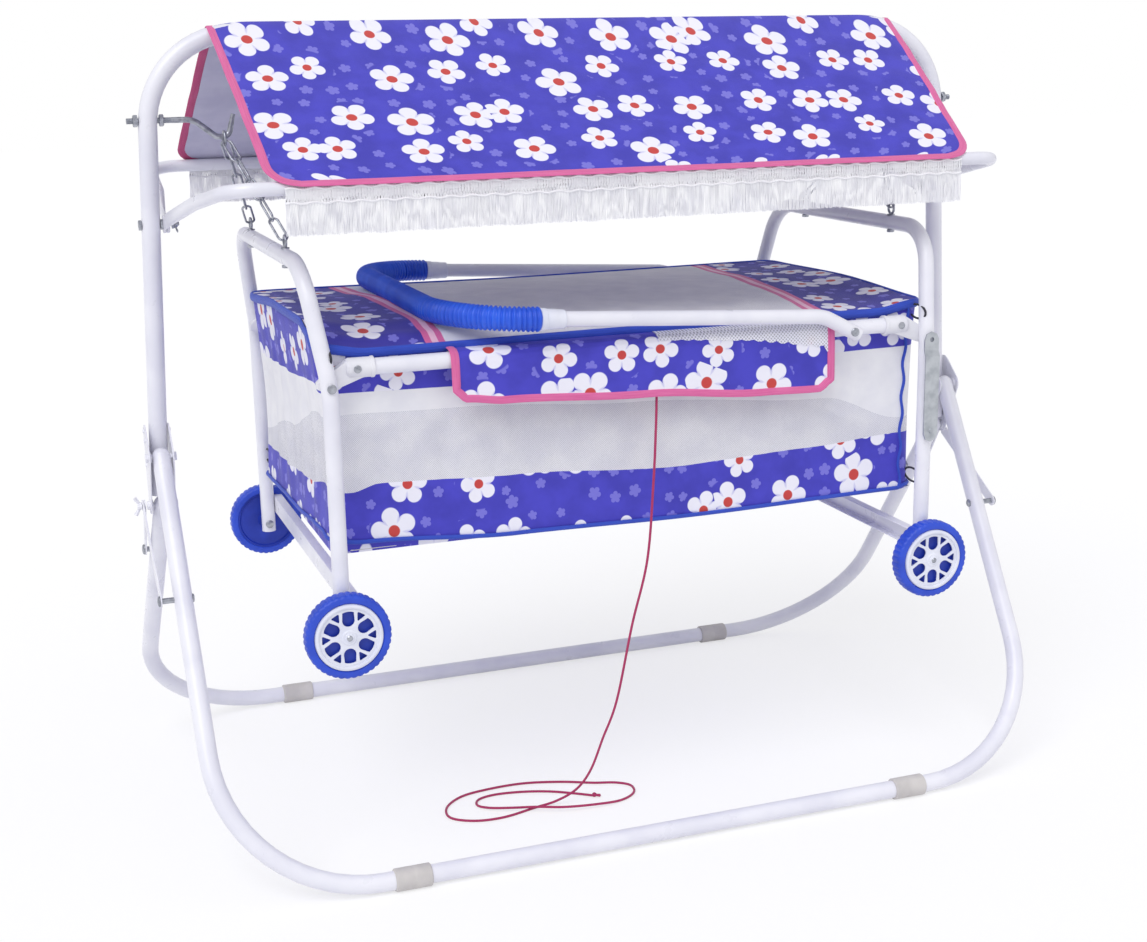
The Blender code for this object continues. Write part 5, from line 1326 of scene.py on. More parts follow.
@dataclass
class BasketFrame:
    """The basket's steel: end frames, rails, elbows, crossbars, and the lock strap."""

    finishes: Finishes
    axle_radius: float = 0.004
    axle_end: float = 0.3234
    socket_radius: float = 0.0141
    socket_ends: tuple[float, float] = (0.374, 0.4115)

    def build(self) -> None:
        """Builds every part of the basket's frame."""
        for name, side in SIDES.items():
            self.end_frame(name, side)
            dress_node(f"{name}_crossbar", self.finishes.coat, 0.8 * MM)
        for name, end in ENDS.items():
            self.rail(name, end)
        dress_node("base_board", self.finishes.board, 1.2 * MM)
        dress_node("swing_lock_strap", self.finishes.strap, 0.4 * MM)

    def end_frame(self, name: str, side: int) -> None:
        """Builds an arch with its two legs, eye bolts, rail bolts and stub axles.

        Args:
            name: The side's name.
            side: The side's sign.
        """
        half = [(side * END_FRAME_X, -LEG_Y, LEG_FOOT_Z), (side * END_FRAME_X, -LEG_Y, ARCH_KINK_Z),
                (side * ARCH_TOP_X, -ARCH_SHOULDER_Y, ARCH_TOP_Z)]
        corners = half + [(x, -y, z) for x, y, z in reversed(half)]
        route = rounded_route(corners, [ARCH_KINK, ARCH_BEND, ARCH_BEND, ARCH_KINK])
        steel = tube(route, BASKET_TUBE, X_AXIS)
        make_piece(f"{name}_arch_tube", steel, self.finishes.coat, Slot.WHITE_COAT, Body.CRADLE,
                   [f"{name}_end_frame"])
        parts, caps = [], []
        for end in (FRONT, REAR):
            eye = Vector((side * ARCH_TOP_X, end * EYE_BOLT_Y, EYE_BOLT_Z))
            ring = [eye + Vector((0, sin(turn), cos(turn))) * EYE_RING for turn in turns(32)]
            parts.append(tube(ring, EYE_WIRE, X_AXIS, sides=WIRE_SIDES, closed=True))
            parts.append(turned(eye - Z_AXIS * 0.0072, -Z_AXIS, [(0, 0.0022), (0.026, 0.0022)], 14))
            parts.append(hex_nut(eye - Z_AXIS * 0.0312, -Z_AXIS, 0.0058, 0.004))
            parts.append(turned(eye - Z_AXIS * 0.0082, -Z_AXIS, [(0, 0.0056), (0.0014, 0.006)], 20))
            wheel = Vector((side * END_FRAME_X, 0, WHEEL_Z))
            parts.append(turned(wheel + Y_AXIS * end * 0.29, Y_AXIS * end,
                                [(0, self.axle_radius), (self.axle_end - 0.29 - 0.001, self.axle_radius),
                                 (self.axle_end - 0.29, self.axle_radius * 0.7)], 20))
            parts.append(bolt_head(wheel + Y_AXIS * end * (LEG_Y - BASKET_TUBE * 0.97), Y_AXIS * -end, 0.0065,
                                   0.0035))
            parts.append(bolt_head((side * END_FRAME_X, end * (LEG_Y + BASKET_TUBE * 0.97), RAIL_BOLT_Z),
                                   Y_AXIS * end, 0.0062, 0.0022))
            parts.append(bolt_head((side * END_FRAME_X, end * (LEG_Y + BASKET_TUBE * 0.97), 0.376),
                                   Y_AXIS * end, 0.0055, 0.0025))
            caps.append(turned((side * END_FRAME_X, end * LEG_Y, LEG_FOOT_Z + 0.0006), -Z_AXIS,
                               [(0, 0.0104), (0.0005, 0.0104), (0.0006, 0.0098)], 24))
        make_piece(f"{name}_arch_bolts", merged(parts), self.finishes.plated, Slot.GREY_STEEL, Body.CRADLE)
        make_piece(f"{name}_leg_caps", merged(caps), self.finishes.sleeve, Slot.SLEEVE, Body.CRADLE)

    def rail(self, name: str, end: int) -> None:
        """Builds a side rail and the elbow sockets at its ends.

        Args:
            name: The end's name.
            end: The end's sign.
        """
        y = end * RAIL_Y
        ends = [Vector((-RAIL_END_X, y, RAIL_Z)), Vector((RAIL_END_X, y, RAIL_Z))]
        make_piece(f"{name}_rail_tube", tube(ends, BASKET_TUBE, Z_AXIS), self.finishes.coat, Slot.WHITE_COAT,
                   Body.CRADLE)
        bolts = [turned((HANDLE_PIVOT_X, y, RAIL_Z), Y_AXIS * end, [(0, 0.0031), (0.0385, 0.0031)], 16),
                 bolt_head((HANDLE_PIVOT_X, end * (HANDLE_Y + HANDLE_TUBE - 0.0003), RAIL_Z), Y_AXIS * end,
                           0.0062,
                           0.0032)]
        for side_name, side in SIDES.items():
            (inner, outer), wide = self.socket_ends, self.socket_radius
            profile = [(0, 0.0118), (0, wide - 0.0008), (0.0008, wide), (0.004, wide), (0.005, wide - 0.0009),
                       (outer - inner - 0.004, wide - 0.0006), (outer - inner, wide - 0.003)]
            socket = turned((side * inner, y, RAIL_Z), X_AXIS * side, profile, 36)
            gusset = [(side * (inner + 0.012), RAIL_Z + 0.008), (side * (outer - 0.002), RAIL_Z + 0.011),
                      (side * (END_FRAME_X + 0.006), RAIL_BOLT_Z + 0.011),
                      (side * (END_FRAME_X + 0.0135), RAIL_BOLT_Z + 0.004),
                      (side * (END_FRAME_X + 0.0135), RAIL_BOLT_Z - 0.004),
                      (side * (END_FRAME_X + 0.006), RAIL_BOLT_Z - 0.0075),
                      (side * (END_FRAME_X - 0.004), RAIL_BOLT_Z - 0.0075),
                      (side * (inner + 0.012), RAIL_Z - 0.011)]
            face = Matrix(((1, 0, 0), (0, 0, -1), (0, 1, 0))).to_4x4()
            face.translation = (0, y, 0)
            web = plate([gusset], 0.016, face, 0.0012)
            make_piece(f"{name}_{side_name}_elbow_moulding", merged([socket, web]), self.finishes.elbow,
                       Slot.ELBOW,
                       Body.CRADLE, [f"{name}_elbow_{side_name}"], crease=0.5)
            bolts.append(bolt_head((side * (inner + 0.024), y + end * (self.socket_radius - 0.0008), RAIL_Z),
                                   Y_AXIS * end, 0.0052, 0.0018))
        make_piece(f"{name}_rail_bolts", merged(bolts), self.finishes.plated, Slot.GREY_STEEL, Body.CRADLE,
                   [f"{name}_rail"])


@dataclass
class Wheel:
    """A moulded wheel: blue tyre and body behind a white cap with six windows and six small wedges."""

    finishes: Finishes
    side_name: str
    end_name: str
    width: float = 0.024
    tyre_depth: float = 0.0115
    hub_radius: float = 0.0457
    notch: float = 0.0012
    notch_steps: int = 3
    windows: int = 6

    def build(self) -> None:
        """Builds the wheel's tyre, cap and back."""
        side, end = SIDES[self.side_name], ENDS[self.end_name]
        self.middle = Vector((side * END_FRAME_X, end * WHEEL_Y, WHEEL_Z))
        self.out = Y_AXIS * end
        label = f"{self.end_name}_{self.side_name}"
        body = f"wheel_{label}"
        make_piece(f"{label}_wheel_tyre", self.tyre(), self.finishes.blue, Slot.BLUE_PLASTIC, body,
                   [f"tyre_{label}"])
        make_piece(f"{label}_wheel_cap", self.cap(), self.finishes.hub, Slot.HUB_PLASTIC, body,
                   [f"hub_{label}"])
        half, hub = self.width / 2, self.hub_radius
        back = turned(self.middle - self.out * (half - 0.002), self.out,
                      [(0, 0.0075), (0, 0.012), (0.004, 0.0135), (0.004, hub - 0.004), (0.001, hub - 0.002),
                       (0.001, hub + 0.0012), (half + 0.002, hub + 0.0012), (half + 0.002, 0.0075)], 72)
        make_piece(f"{label}_wheel_body", back, self.finishes.back, Slot.BLUE_PLASTIC, body)

    def tyre(self) -> Shape:
        """Spins the tyre and presses small notches into its shoulders.

        Returns:
            The tyre's mesh.
        """
        half, outer, inner = self.width / 2, WHEEL_RADIUS, WHEEL_RADIUS - self.tyre_depth
        profile = [(inner, -half + 0.0018), (inner, half - 0.0018), (inner + 0.0015, half - 0.0004),
                   (outer - 0.0048, half), (outer - 0.0022, half - 0.0008), (outer - 0.0006, half - 0.003),
                   (outer, half - 0.006), (outer, -half + 0.006), (outer - 0.0006, -half + 0.003),
                   (outer - 0.0022, -half + 0.0008), (outer - 0.0048, -half),
                   (inner + 0.0015, -half + 0.0004)]
        mesh = bmesh.new()
        points = [mesh.verts.new(self.middle + X_AXIS * out + Y_AXIS * across) for out, across in profile]
        loop = [mesh.edges.new((first, second)) for first, second in zip(points, points[1:] + points[:1])]
        bmesh.ops.spin(mesh, geom=points + loop, axis=Y_AXIS, cent=self.middle, angle=tau,
                       steps=WHEEL_STEPS,
                       use_merge=True)
        bmesh.ops.remove_doubles(mesh, verts=mesh.verts, dist=1e-6)
        for vert in mesh.verts:
            from_axis = (vert.co - self.middle) * Vector((1, 0, 1))
            across = abs(vert.co.y - self.middle.y)
            step = round(atan2(from_axis.z, from_axis.x) / tau * WHEEL_STEPS)
            shoulder = 0.005 < across < half - 0.0002 and from_axis.length > outer - 0.003
            if step % self.notch_steps == 0 and shoulder:
                vert.co -= from_axis.normalized() * self.notch
        return mesh

    def cap(self) -> Shape:
        """Cuts the cap's disc with its windows and adds its rim, boss and axle cap.

        Returns:
            The cap's mesh.
        """
        hub, face_at = self.hub_radius, self.width / 2 - 0.0022
        frame_face = Matrix((X_AXIS, Z_AXIS, self.out)).transposed().to_4x4()
        frame_face.translation = self.middle + self.out * face_at
        outlines = [self.ring(self.hub_radius - 0.002)]
        pitch = tau / self.windows
        for number in range(self.windows):
            turn = pitch * (number + 0.5)
            outlines.append(self.window(turn))
            outlines.append(self.wedge(turn + pitch / 2))
        disc = plate(outlines, 0.0026, frame_face, 0.0007)
        rim = turned(self.middle + self.out * (face_at - 0.006), self.out,
                     [(0, hub - 0.0062), (0.006, hub - 0.0064), (0.0092, hub - 0.0055),
                      (0.0098, hub - 0.0036), (0.009, hub - 0.0012), (0.007, hub - 0.0002),
                      (0.0, hub - 0.0002)], 96)
        boss = turned(self.middle + self.out * (face_at - 0.002), self.out,
                      [(0, 0.0105), (0.0036, 0.0103), (0.0046, 0.009), (0.0046, 0.0062), (0.0058, 0.0058),
                       (0.0064, 0.004), (0.0066, 0.0001)], 40)
        return merged([disc, rim, boss])

    def ring(self, radius: float) -> list[Place]:
        """A circle's outline about the axle."""
        return [(radius * cos(turn), radius * sin(turn)) for turn in turns(96)]

    def window(self, turn: float) -> list[Place]:
        """A D-shaped window, round towards the axle, at a turn round it.

        Args:
            turn: The angle round the axle.

        Returns:
            The window's outline.
        """
        outer, inner, half = self.hub_radius - 0.0105, 0.015, 0.0082
        outline = [(outer - 0.0012, -half + 0.0006), (outer, -half * 0.5), (outer + 0.0004, 0.0),
                   (outer, half * 0.5), (outer - 0.0012, half - 0.0006)]
        middle = inner + half
        outline += [(middle - half * sin(angle), half * cos(angle))
                    for angle in (pi * step / 16 for step in range(17))]
        return self.placed(outline, turn)

    def wedge(self, turn: float) -> list[Place]:
        """A small rounded triangle near the rim, its point towards the axle.

        Args:
            turn: The angle round the axle.

        Returns:
            The wedge's outline.
        """
        outer = self.hub_radius - 0.01
        outline = [(outer, -0.0046), (outer + 0.0002, 0.0046), (outer - 0.0012, 0.0056),
                   (outer - 0.0102, 0.001),
                   (outer - 0.0108, 0.0), (outer - 0.0102, -0.001), (outer - 0.0012, -0.0056)]
        return self.placed(outline, turn)

    def placed(self, outline: Sequence[Place], turn: float) -> list[Place]:
        """Turns an outline of out and across round the axle.

        Args:
            outline: Pairs of out from the axle and across.
            turn: The angle round the axle.

        Returns:
            The outline in the wheel's plane.
        """
        return [(out * cos(turn) - across * sin(turn),
                 out * sin(turn) + across * cos(turn))
                for out, across in outline]


@dataclass
class PushHandle:
    """The bent push handle with collars and its long corrugated grip."""

    finishes: Finishes
    rib_pitch: float = 0.0062
    rib_crest: float = 0.0168
    rib_valley: float = 0.0143

    def place(self, reach: float, y: float) -> Vector:
        """A place on the handle's slope, from how far it lies from the pivot and its Y."""
        rise = asin(HANDLE_RISE / HANDLE_REACH)
        return Vector((HANDLE_PIVOT_X - reach * cos(rise), y, HANDLE_LINE_Z + reach * sin(rise)))

    def build(self) -> None:
        """Builds the tube, the collars and the grip."""
        corners, collars = [], []
        for y in (-HANDLE_Y, HANDLE_Y):
            pivot = Vector((HANDLE_PIVOT_X, y, RAIL_Z))
            knee = self.place(HANDLE_KNEE, y)
            tail = pivot + (pivot - knee).normalized() * HANDLE_TAIL
            arm = [tail, knee, self.place(HANDLE_REACH, y)]
            corners += arm if y < 0 else list(reversed(arm))
            start = self.place(GRIP_START - COLLAR_LENGTH, y)
            along = (self.place(1, y) - self.place(0, y)).normalized()
            profile = [(0, 0.0106), (0, 0.0118), (0.0012, 0.0128), (0.012, 0.013), (0.013, 0.0136),
                       (0.026, 0.0138), (0.027, 0.0148), (0.034, 0.015), (0.0348, 0.0142), (0.0348, 0.0106)]
            collars.append(turned(start, along, profile, 36))
        route = rounded_route(corners, [HANDLE_KNEE_BEND, HANDLE_BEND, HANDLE_BEND, HANDLE_KNEE_BEND])
        normal = (self.place(1, 0) - self.place(0, 0)).cross(Y_AXIS)
        make_piece("push_handle_tube", tube(route, HANDLE_TUBE, normal), self.finishes.coat, Slot.WHITE_COAT,
                   Body.HANDLE, ["push_handle"])
        make_piece("push_handle_collars", merged(collars), self.finishes.hub, Slot.HUB_PLASTIC, Body.HANDLE)
        loop = [self.place(GRIP_START, -HANDLE_Y), self.place(HANDLE_REACH, -HANDLE_Y),
                self.place(HANDLE_REACH, HANDLE_Y), self.place(GRIP_START, HANDLE_Y)]
        middle = rounded_route(loop, [HANDLE_BEND, HANDLE_BEND])
        ribs = round(travelled(middle)[-1] / self.rib_pitch)
        steps = ribs * 6
        shape = (self.rib_valley, 0.016, self.rib_crest, self.rib_crest, 0.016, self.rib_valley)
        shares = [shape[step % 6] / self.rib_crest for step in range(steps + 1)]
        shares[0] = shares[-1] = 0.0148 / self.rib_crest
        grip = tube(resampled(middle, steps), self.rib_crest, normal, shares, 28)
        make_piece("corrugated_grip", grip, self.finishes.hose, Slot.BLUE_PLASTIC, Body.HANDLE,
                   ["handle_grip"],
                   crease=1.2)


@dataclass
class CanopyCloth:
    """The two printed canopy halves with their bias binding and looped fringe."""

    finishes: Finishes
    hem: tuple[float, float] = (0.287, 0.928)
    ridge_half: float = 0.5165
    hem_halves: tuple[float, float] = (0.494, 0.536)
    top_radius: float = 0.0146
    crown: float = 0.003
    length: float = 0.342
    corner: float = 0.035
    wall: float = 0.0009
    fringe_drop: float = 0.0585
    yarn_pitch: float = 0.0019

    def build(self) -> None:
        """Builds both halves."""
        for name, end in ENDS.items():
            self.half(name, end)

    def profile(self, end: int, share: float, lift: float = 0.0) -> tuple[Vector, Vector]:
        """A place down a half and the way the cloth faces there.

        Args:
            end: The half's sign.
            share: How far down from the ridge, from 0 to 1.
            lift: How far out of the cloth.

        Returns:
            The place and the outward direction, both in the middle plane.
        """
        ridge, hem = Vector((0, RIDGE_Z)), Vector(self.hem)
        down = (hem - ridge).normalized()
        normal = Vector((-down.y, down.x))
        arc = atan2(normal.x, normal.y)
        arc_length, run = self.top_radius * arc, (hem - ridge).length
        reach = share * (arc_length + run)
        if reach < arc_length:
            turn = reach / self.top_radius
            facing = Vector((sin(turn), cos(turn)))
            place = ridge + facing * (self.top_radius + lift)
        else:
            part = (reach - arc_length) / run
            start = ridge + normal * self.top_radius
            facing = normal
            place = start.lerp(hem, part) + normal * (4 * self.crown * part * (1 - part) + lift)
        return Vector((0, end * place.x, place.y)), Vector((0, end * facing.x, facing.y))

    def surface(self, end: int, lift: float = 0.0) -> Surface:
        """The half's surface over measures across (-1 to 1) and down (0 to 1), with soft wrinkles.

        Args:
            end: The half's sign.
            lift: How far out of the cloth.

        Returns:
            The surface.
        """
        hem_half = self.hem_halves[0 if end == FRONT else 1]

        def place(across: float, down: float) -> Vector:
            """A place on the cloth.

            Args:
                across: From -1 at the left to 1.
                down: From 0 at the ridge to 1.

            Returns:
                The place.
            """
            width = self.ridge_half + (hem_half - self.ridge_half) * down
            past = max(0.0, (down - 1) * self.length + self.corner)
            width -= self.corner - sqrt(max(self.corner ** 2 - past ** 2, 0.0))
            x = across * width
            fold = ripple(x, down * self.length * 0.5, 0.16, 3.1 + end) * 0.0046
            fold += ripple(x, down * self.length * 1.6, 0.05, 8.3 + end) * 0.0018
            droop = -0.006 * (max(abs(across) - 0.9, 0) / 0.1) ** 2 * (1 - down)
            fold *= min(down * 4, (1 - down) * 5 + 0.25, 1)
            return self.profile(end, down, lift + fold + droop)[0] + X_AXIS * x
        return place

    def half(self, name: str, end: int) -> None:
        """Builds a half: cloth, binding, ridge corner and fringe.

        Args:
            name: The end's name.
            end: The half's sign.
        """
        place, width = self.surface(end), self.ridge_half * 2
        cloth = sheet_grid((-0.5 * width, 0.5 * width, 0.0, self.length), (150, 60),
                           lambda across, down: place(across / width * 2, (down / self.length) ** 0.8))
        cloth.normal_update()
        face_out(cloth, lambda face: face.normal.z)
        for item in bmesh.ops.solidify(cloth, geom=list(cloth.faces), thickness=self.wall)["geom"]:
            if isinstance(item, bmesh.types.BMFace):
                item.material_index = 1
        body = CANOPY_BODY[end]
        piece = make_piece(f"canopy_{name}_print", cloth, [self.finishes.print, self.finishes.lining],
                           Slot.PRINT_CLOTH, None, [f"canopy_cloth_{name}"])
        start, finish = (0, 0, RIDGE_Z), (0, end * self.hem[0], self.hem[1])
        edge = [place(-1, (step / 60) ** 0.9) for step in range(61)]
        edge += [place(-1 + 2 * step / 80, 1.0) for step in range(1, 80)]
        edge += [place(1, (step / 60) ** 0.9) for step in range(60, -1, -1)]
        edge = resampled(edge, 220)
        # The rear half takes the darker binding, whose colour is painted shade.
        binding = self.finishes.binding if end == FRONT else self.finishes.binding_dark
        lead = Vector((0, end * 0.54, 0.84))
        trim = make_piece(f"canopy_{name}_binding", tube(edge, 0.006, lead, sides=12, flat=0.24), binding,
                          Slot.PRINT_CLOTH, None)
        hem_half = self.hem_halves[0 if end == FRONT else 1] - self.corner * 0.4
        top = Vector((0, end * (self.hem[0] - 0.0005), self.hem[1] - 0.0045))
        count = int(2 * hem_half / self.yarn_pitch)
        fringes = [self.strands(top + Y_AXIS * end * 0.001 * (layer - 1), hem_half, count, layer, end)
                   for layer in (0, 1, 2)]
        fringe = make_piece(f"canopy_{name}_fringe", merged(fringes), self.finishes.fringe, Slot.NET_CLOTH,
                            body)
        rows = [tube([top + Vector((-hem_half + 2 * hem_half * step / 160, end * 0.0006,
                                    -drop + 0.0012 * sin(step * 1.3))) for step in range(161)],
                     0.0014, Z_AXIS, sides=8) for drop in (0.001, 0.019)]
        head = make_piece(f"canopy_{name}_fringe_head", merged(rows), self.finishes.fringe, Slot.NET_CLOTH,
                          body)
        for item in (piece, trim):
            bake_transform(item)
            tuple(start)
            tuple(finish)

    def strands(self, top: Vector, half: float, count: int, layer: int, end: int) -> Shape:
        """Builds one layer of the fringe: an open grid whose alternate columns are taken out.

        Args:
            top: The head's middle.
            half: Half the head's length.
            count: How many strands hang from it.
            layer: The layer's number, which changes its chance moves.
            end: The half's sign.

        Returns:
            The mesh.
        """
        mesh = bmesh.new()
        layer_uv = mesh.loops.layers.uv.new("UVMap")
        columns = count * 2
        bmesh.ops.create_grid(mesh, x_segments=columns, y_segments=7, size=0.5)
        gone = [face for face in mesh.faces
                if int((face.calc_center_median().x + 0.5) * columns) % 2 == (1 - layer % 2)]
        bmesh.ops.delete(mesh, geom=gone, context="FACES")
        for face in mesh.faces:
            for loop in face.loops:
                loop[layer_uv].uv = (loop.vert.co.x, loop.vert.co.y * self.fringe_drop)
        for vert in mesh.verts:
            across, down = vert.co.x + 0.5, 0.5 - vert.co.y
            strand = round(across * columns) // 2
            chance = noise.cell(Vector((strand * 3.7, layer * 5.1 + end, 0.5)))
            sway = noise.noise(Vector((strand * 0.11, down * 1.3, layer * 7.7 + end))) * 0.0035 * down
            cross = sin(down * 14 + strand * pi) * 0.0022 * max(0.0, 0.34 - down) / 0.34
            length = self.fringe_drop + 0.0016 * ripple(across * half * 2, 0, 0.035, 2.0) - 0.0014 * chance
            x = -half + across * 2 * half + sway + cross
            vert.co = top + Vector((x, end * 0.001 * down * (chance - 0.5), -down * length))
        return mesh


@dataclass
class BasketCloth:
    """The basket's bag: printed bands, a white band, netting walls and a printed floor."""

    finishes: Finishes
    steps: int = 360
    top_reach: float = 0.0001
    floor_z: float = 0.4362
    floor_edge: float = 0.99
    floor_flat: float = 0.96
    floor_fold: float = 0.996
    tops: Marks = (
        (0.0, 0.72), (0.07, 0.71), (0.45, 0.712), (0.83, 0.711), (0.894, 0.7205), (1.14, 0.728),
        (1.389, 0.724), (1.84, 0.7225), (2.283, 0.727), (2.53, 0.742), (2.7, 0.744), (2.745, 0.735),
        (2.778, 0.72))
    print_ends: Marks = (
        (0.0, 0.654), (0.45, 0.646), (0.894, 0.654), (1.389, 0.64), (1.84, 0.648), (2.283, 0.635),
        (2.55, 0.648), (2.74, 0.662), (2.778, 0.654))
    band_ends: Marks = (
        (0.0, 0.622), (0.042, 0.625), (0.189, 0.622), (0.45, 0.607), (0.751, 0.587), (0.878, 0.548),
        (1.14, 0.535), (1.389, 0.515), (1.55, 0.565), (1.84, 0.6), (2.15, 0.575), (2.283, 0.515),
        (2.53, 0.567), (2.74, 0.622), (2.778, 0.622))
    print_starts: Marks = (
        (0.0, 0.522), (0.037, 0.519), (0.075, 0.528), (0.272, 0.521), (0.51, 0.509), (0.732, 0.516),
        (0.877, 0.525), (1.14, 0.505), (1.389, 0.489), (1.84, 0.512), (2.283, 0.489), (2.445, 0.496),
        (2.65, 0.511), (2.757, 0.528), (2.778, 0.522))
    floors: Marks = (
        (0.0, 0.456), (0.047, 0.451), (0.267, 0.439), (0.537, 0.4355), (0.877, 0.44), (0.894, 0.444),
        (1.389, 0.44), (1.84, 0.438), (2.283, 0.44), (2.53, 0.448), (2.74, 0.459), (2.778, 0.456))

    def build(self) -> None:
        """Builds the walls, the floor, the piping and the ties."""
        outline = [(0, -TUB_Y, 0), (TUB_TOP_X, -TUB_Y, 0), (TUB_TOP_X, TUB_Y, 0), (-TUB_TOP_X, TUB_Y, 0),
                   (-TUB_TOP_X, -TUB_Y, 0), (0, -TUB_Y, 0)]
        self.loop = resampled(rounded_route(outline, [TUB_CORNER] * 4), self.steps)
        self.length = travelled(self.loop)[-1]
        self.start = self.length - TUB_TOP_X + self.top_reach
        self.walls()
        self.trims()
        self.floor()

    def rim(self, mark: float) -> tuple[Vector, Vector]:
        """A place on the plan's outline and its outward direction, from the distance round it.

        Args:
            mark: The distance round, from the front left corner.

        Returns:
            The place and the direction.
        """
        reach = (mark / MARKS_ROUND * self.length + self.start) % self.length
        index = min(int(reach / self.length * self.steps), self.steps - 1)
        share = reach / self.length * self.steps - index
        before, after = self.loop[index], self.loop[index + 1]
        along = (after - before).normalized()
        return before.lerp(after, share), Vector((along.y, -along.x, 0))

    def wall_place(self, mark: float, z: float, lift: float = 0.0) -> Vector:
        """A place on the wall at a distance round and a height, with folds pressed in from the outside.

        Args:
            mark: The distance round.
            z: The height.
            lift: How far out of the wall.

        Returns:
            The place.
        """
        spot, out = self.rim(mark)
        height = (z - TUB_FLOOR_Z) / (TUB_TOP_Z - TUB_FLOOR_Z)
        taper = (TUB_FLOOR_X + (TUB_TOP_X - TUB_FLOOR_X) * min(max(height, 0), 1)) / TUB_TOP_X
        turn = mark / MARKS_ROUND * tau
        slow, quick, fine = (noise.noise(Vector((cos(turn) * rate, sin(turn) * rate,
                                                 height * rise)))
                             for rate, rise in ((2.1, 1.3), (9.0, 0.9), (24.0, 3.0)))
        belly = sin(pi * min(max(height, 0), 1))
        press = belly * (0.0045 + 0.0035 * slow + 0.003 * quick) + 0.0012 * fine * (0.4 + belly)
        press += abs(out.x) * belly * 0.004 * (1 + sin(mark * 95)) * 0.5
        return Vector((spot.x * taper, spot.y, z)) + out * (lift - max(press, 0.0))

    def walls(self) -> None:
        """Builds the four bands as one sheet, so that they share their folds."""
        bands = (self.tops, self.print_ends, self.band_ends, self.print_starts, self.floors)
        limits = (0, 10, 20, 34, 44)
        kinds = (0, 1, 2, 0)

        def place(mark: float, row: float) -> Vector:
            """A place on the wall from the distance round and the row down.

            Args:
                mark: The distance round.
                row: The row, from the top.

            Returns:
                The place.
            """
            index = band_at(limits, row)
            share = (row - limits[index]) / (limits[index + 1] - limits[index])
            high, low = read_off(bands[index], mark), read_off(bands[index + 1], mark)
            return self.wall_place(mark, high + (low - high) * share)

        mesh = sheet_grid((0, MARKS_ROUND, 0, limits[-1]), (self.steps, limits[-1]), place,
                          lambda mark, row: kinds[band_at(limits, row)])
        flat_area = lay_uv(mesh, lambda spot, uv: (uv.x, spot.z))
        bmesh.ops.recalc_face_normals(mesh, faces=mesh.faces)
        face_out(mesh, lambda face: face.normal.dot(face.calc_center_median() * Vector((1, 1, 0))))
        piece = make_piece("basket_wall_cloth", mesh, [self.finishes.print, self.finishes.white_band,
                                                       self.finishes.net],
                           Slot.PRINT_CLOTH, Body.CRADLE, ["fabric_tub"], keep_normals=True)

    def trims(self) -> None:
        """Builds the piping at the top, bottom and front left corner, and the black ties."""
        marks = [MARKS_ROUND * step / 300 for step in range(300)]
        top = [self.wall_place(mark, read_off(self.tops, mark) - 0.004, 0.0018) for mark in marks]
        base = [self.wall_place(mark, read_off(self.floors, mark) + 0.001, 0.002) for mark in marks]
        parts = [tube(top, 0.0026, Z_AXIS, sides=12, closed=True, flat=2.5),
                 tube(base, 0.0022, Z_AXIS, sides=12, closed=True, flat=1.4)]
        for mark in (0.012, 0.882, 1.4, 2.272):
            low, high = read_off(self.floors, mark), read_off(self.tops, mark)
            route = [self.wall_place(mark + 0.002 * sin(step * 0.7), low + (high - low) * step / 50,
                                     0.0012)
                     for step in range(51)]
            parts.append(tube(route, 0.0026, X_AXIS + Y_AXIS * 0.3, sides=10, flat=0.7))
        make_piece("basket_piping", merged(parts), self.finishes.piping, Slot.PRINT_CLOTH, Body.CRADLE)
        ties = []
        for side, end in ((LEFT, REAR), (LEFT, FRONT), (RIGHT, FRONT), (RIGHT, REAR)):
            for z in (0.706, 0.462):
                start = Vector((side * (TUB_TOP_X - 0.018), end * (TUB_Y - 0.004), z))
                loop = [start + Vector((side * 0.004, end * (0.016 + 0.022 * cos(turn)),
                                        0.01 * sin(turn)))
                        for turn in turns(32)]
                ties.append(tube(loop, 0.0016, X_AXIS, sides=8, closed=True))
        make_piece("elastic_ties", merged(ties), self.finishes.tie, Slot.NET_CLOTH, Body.CRADLE)

    def floor(self) -> None:
        """Builds the printed underside."""
        def place(across: float, deep: float) -> Vector:
            """A place on the underside: flat under the board, with its last row turned up to the piping.

            Args:
                across: From -1 at the left to 1.
                deep: From -1 at the front to 1.

            Returns:
                The place.
            """
            spread = [copysign(1.0 if abs(share) > self.floor_edge
                                    else min(abs(share) / self.floor_flat, 1.0) * self.floor_fold, share)
                      for share in (across, deep)]
            x, y = spread[0] * (TUB_FLOOR_X - 0.003), spread[1] * (TUB_Y - 0.003)
            mark = FRONT_MARK + x if deep < 0 else REAR_MARK - x
            edge = max(abs(across), abs(deep)) > self.floor_edge
            rise = read_off(self.floors, mark) - self.floor_z if edge else 0.0
            return Vector((x, y, self.floor_z + rise + 0.0004 * ripple(x, y, 0.05, 1.0)))

        mesh = sheet_grid((-1, 1, -1, 1), (60, 36), place)
        area = lay_uv(mesh, lambda spot, uv: (spot.x, spot.y))
        bmesh.ops.reverse_faces(mesh, faces=mesh.faces)
        piece = make_piece("basket_floor_cloth", mesh, self.finishes.print, Slot.PRINT_CLOTH, Body.CRADLE,
                           keep_normals=True)


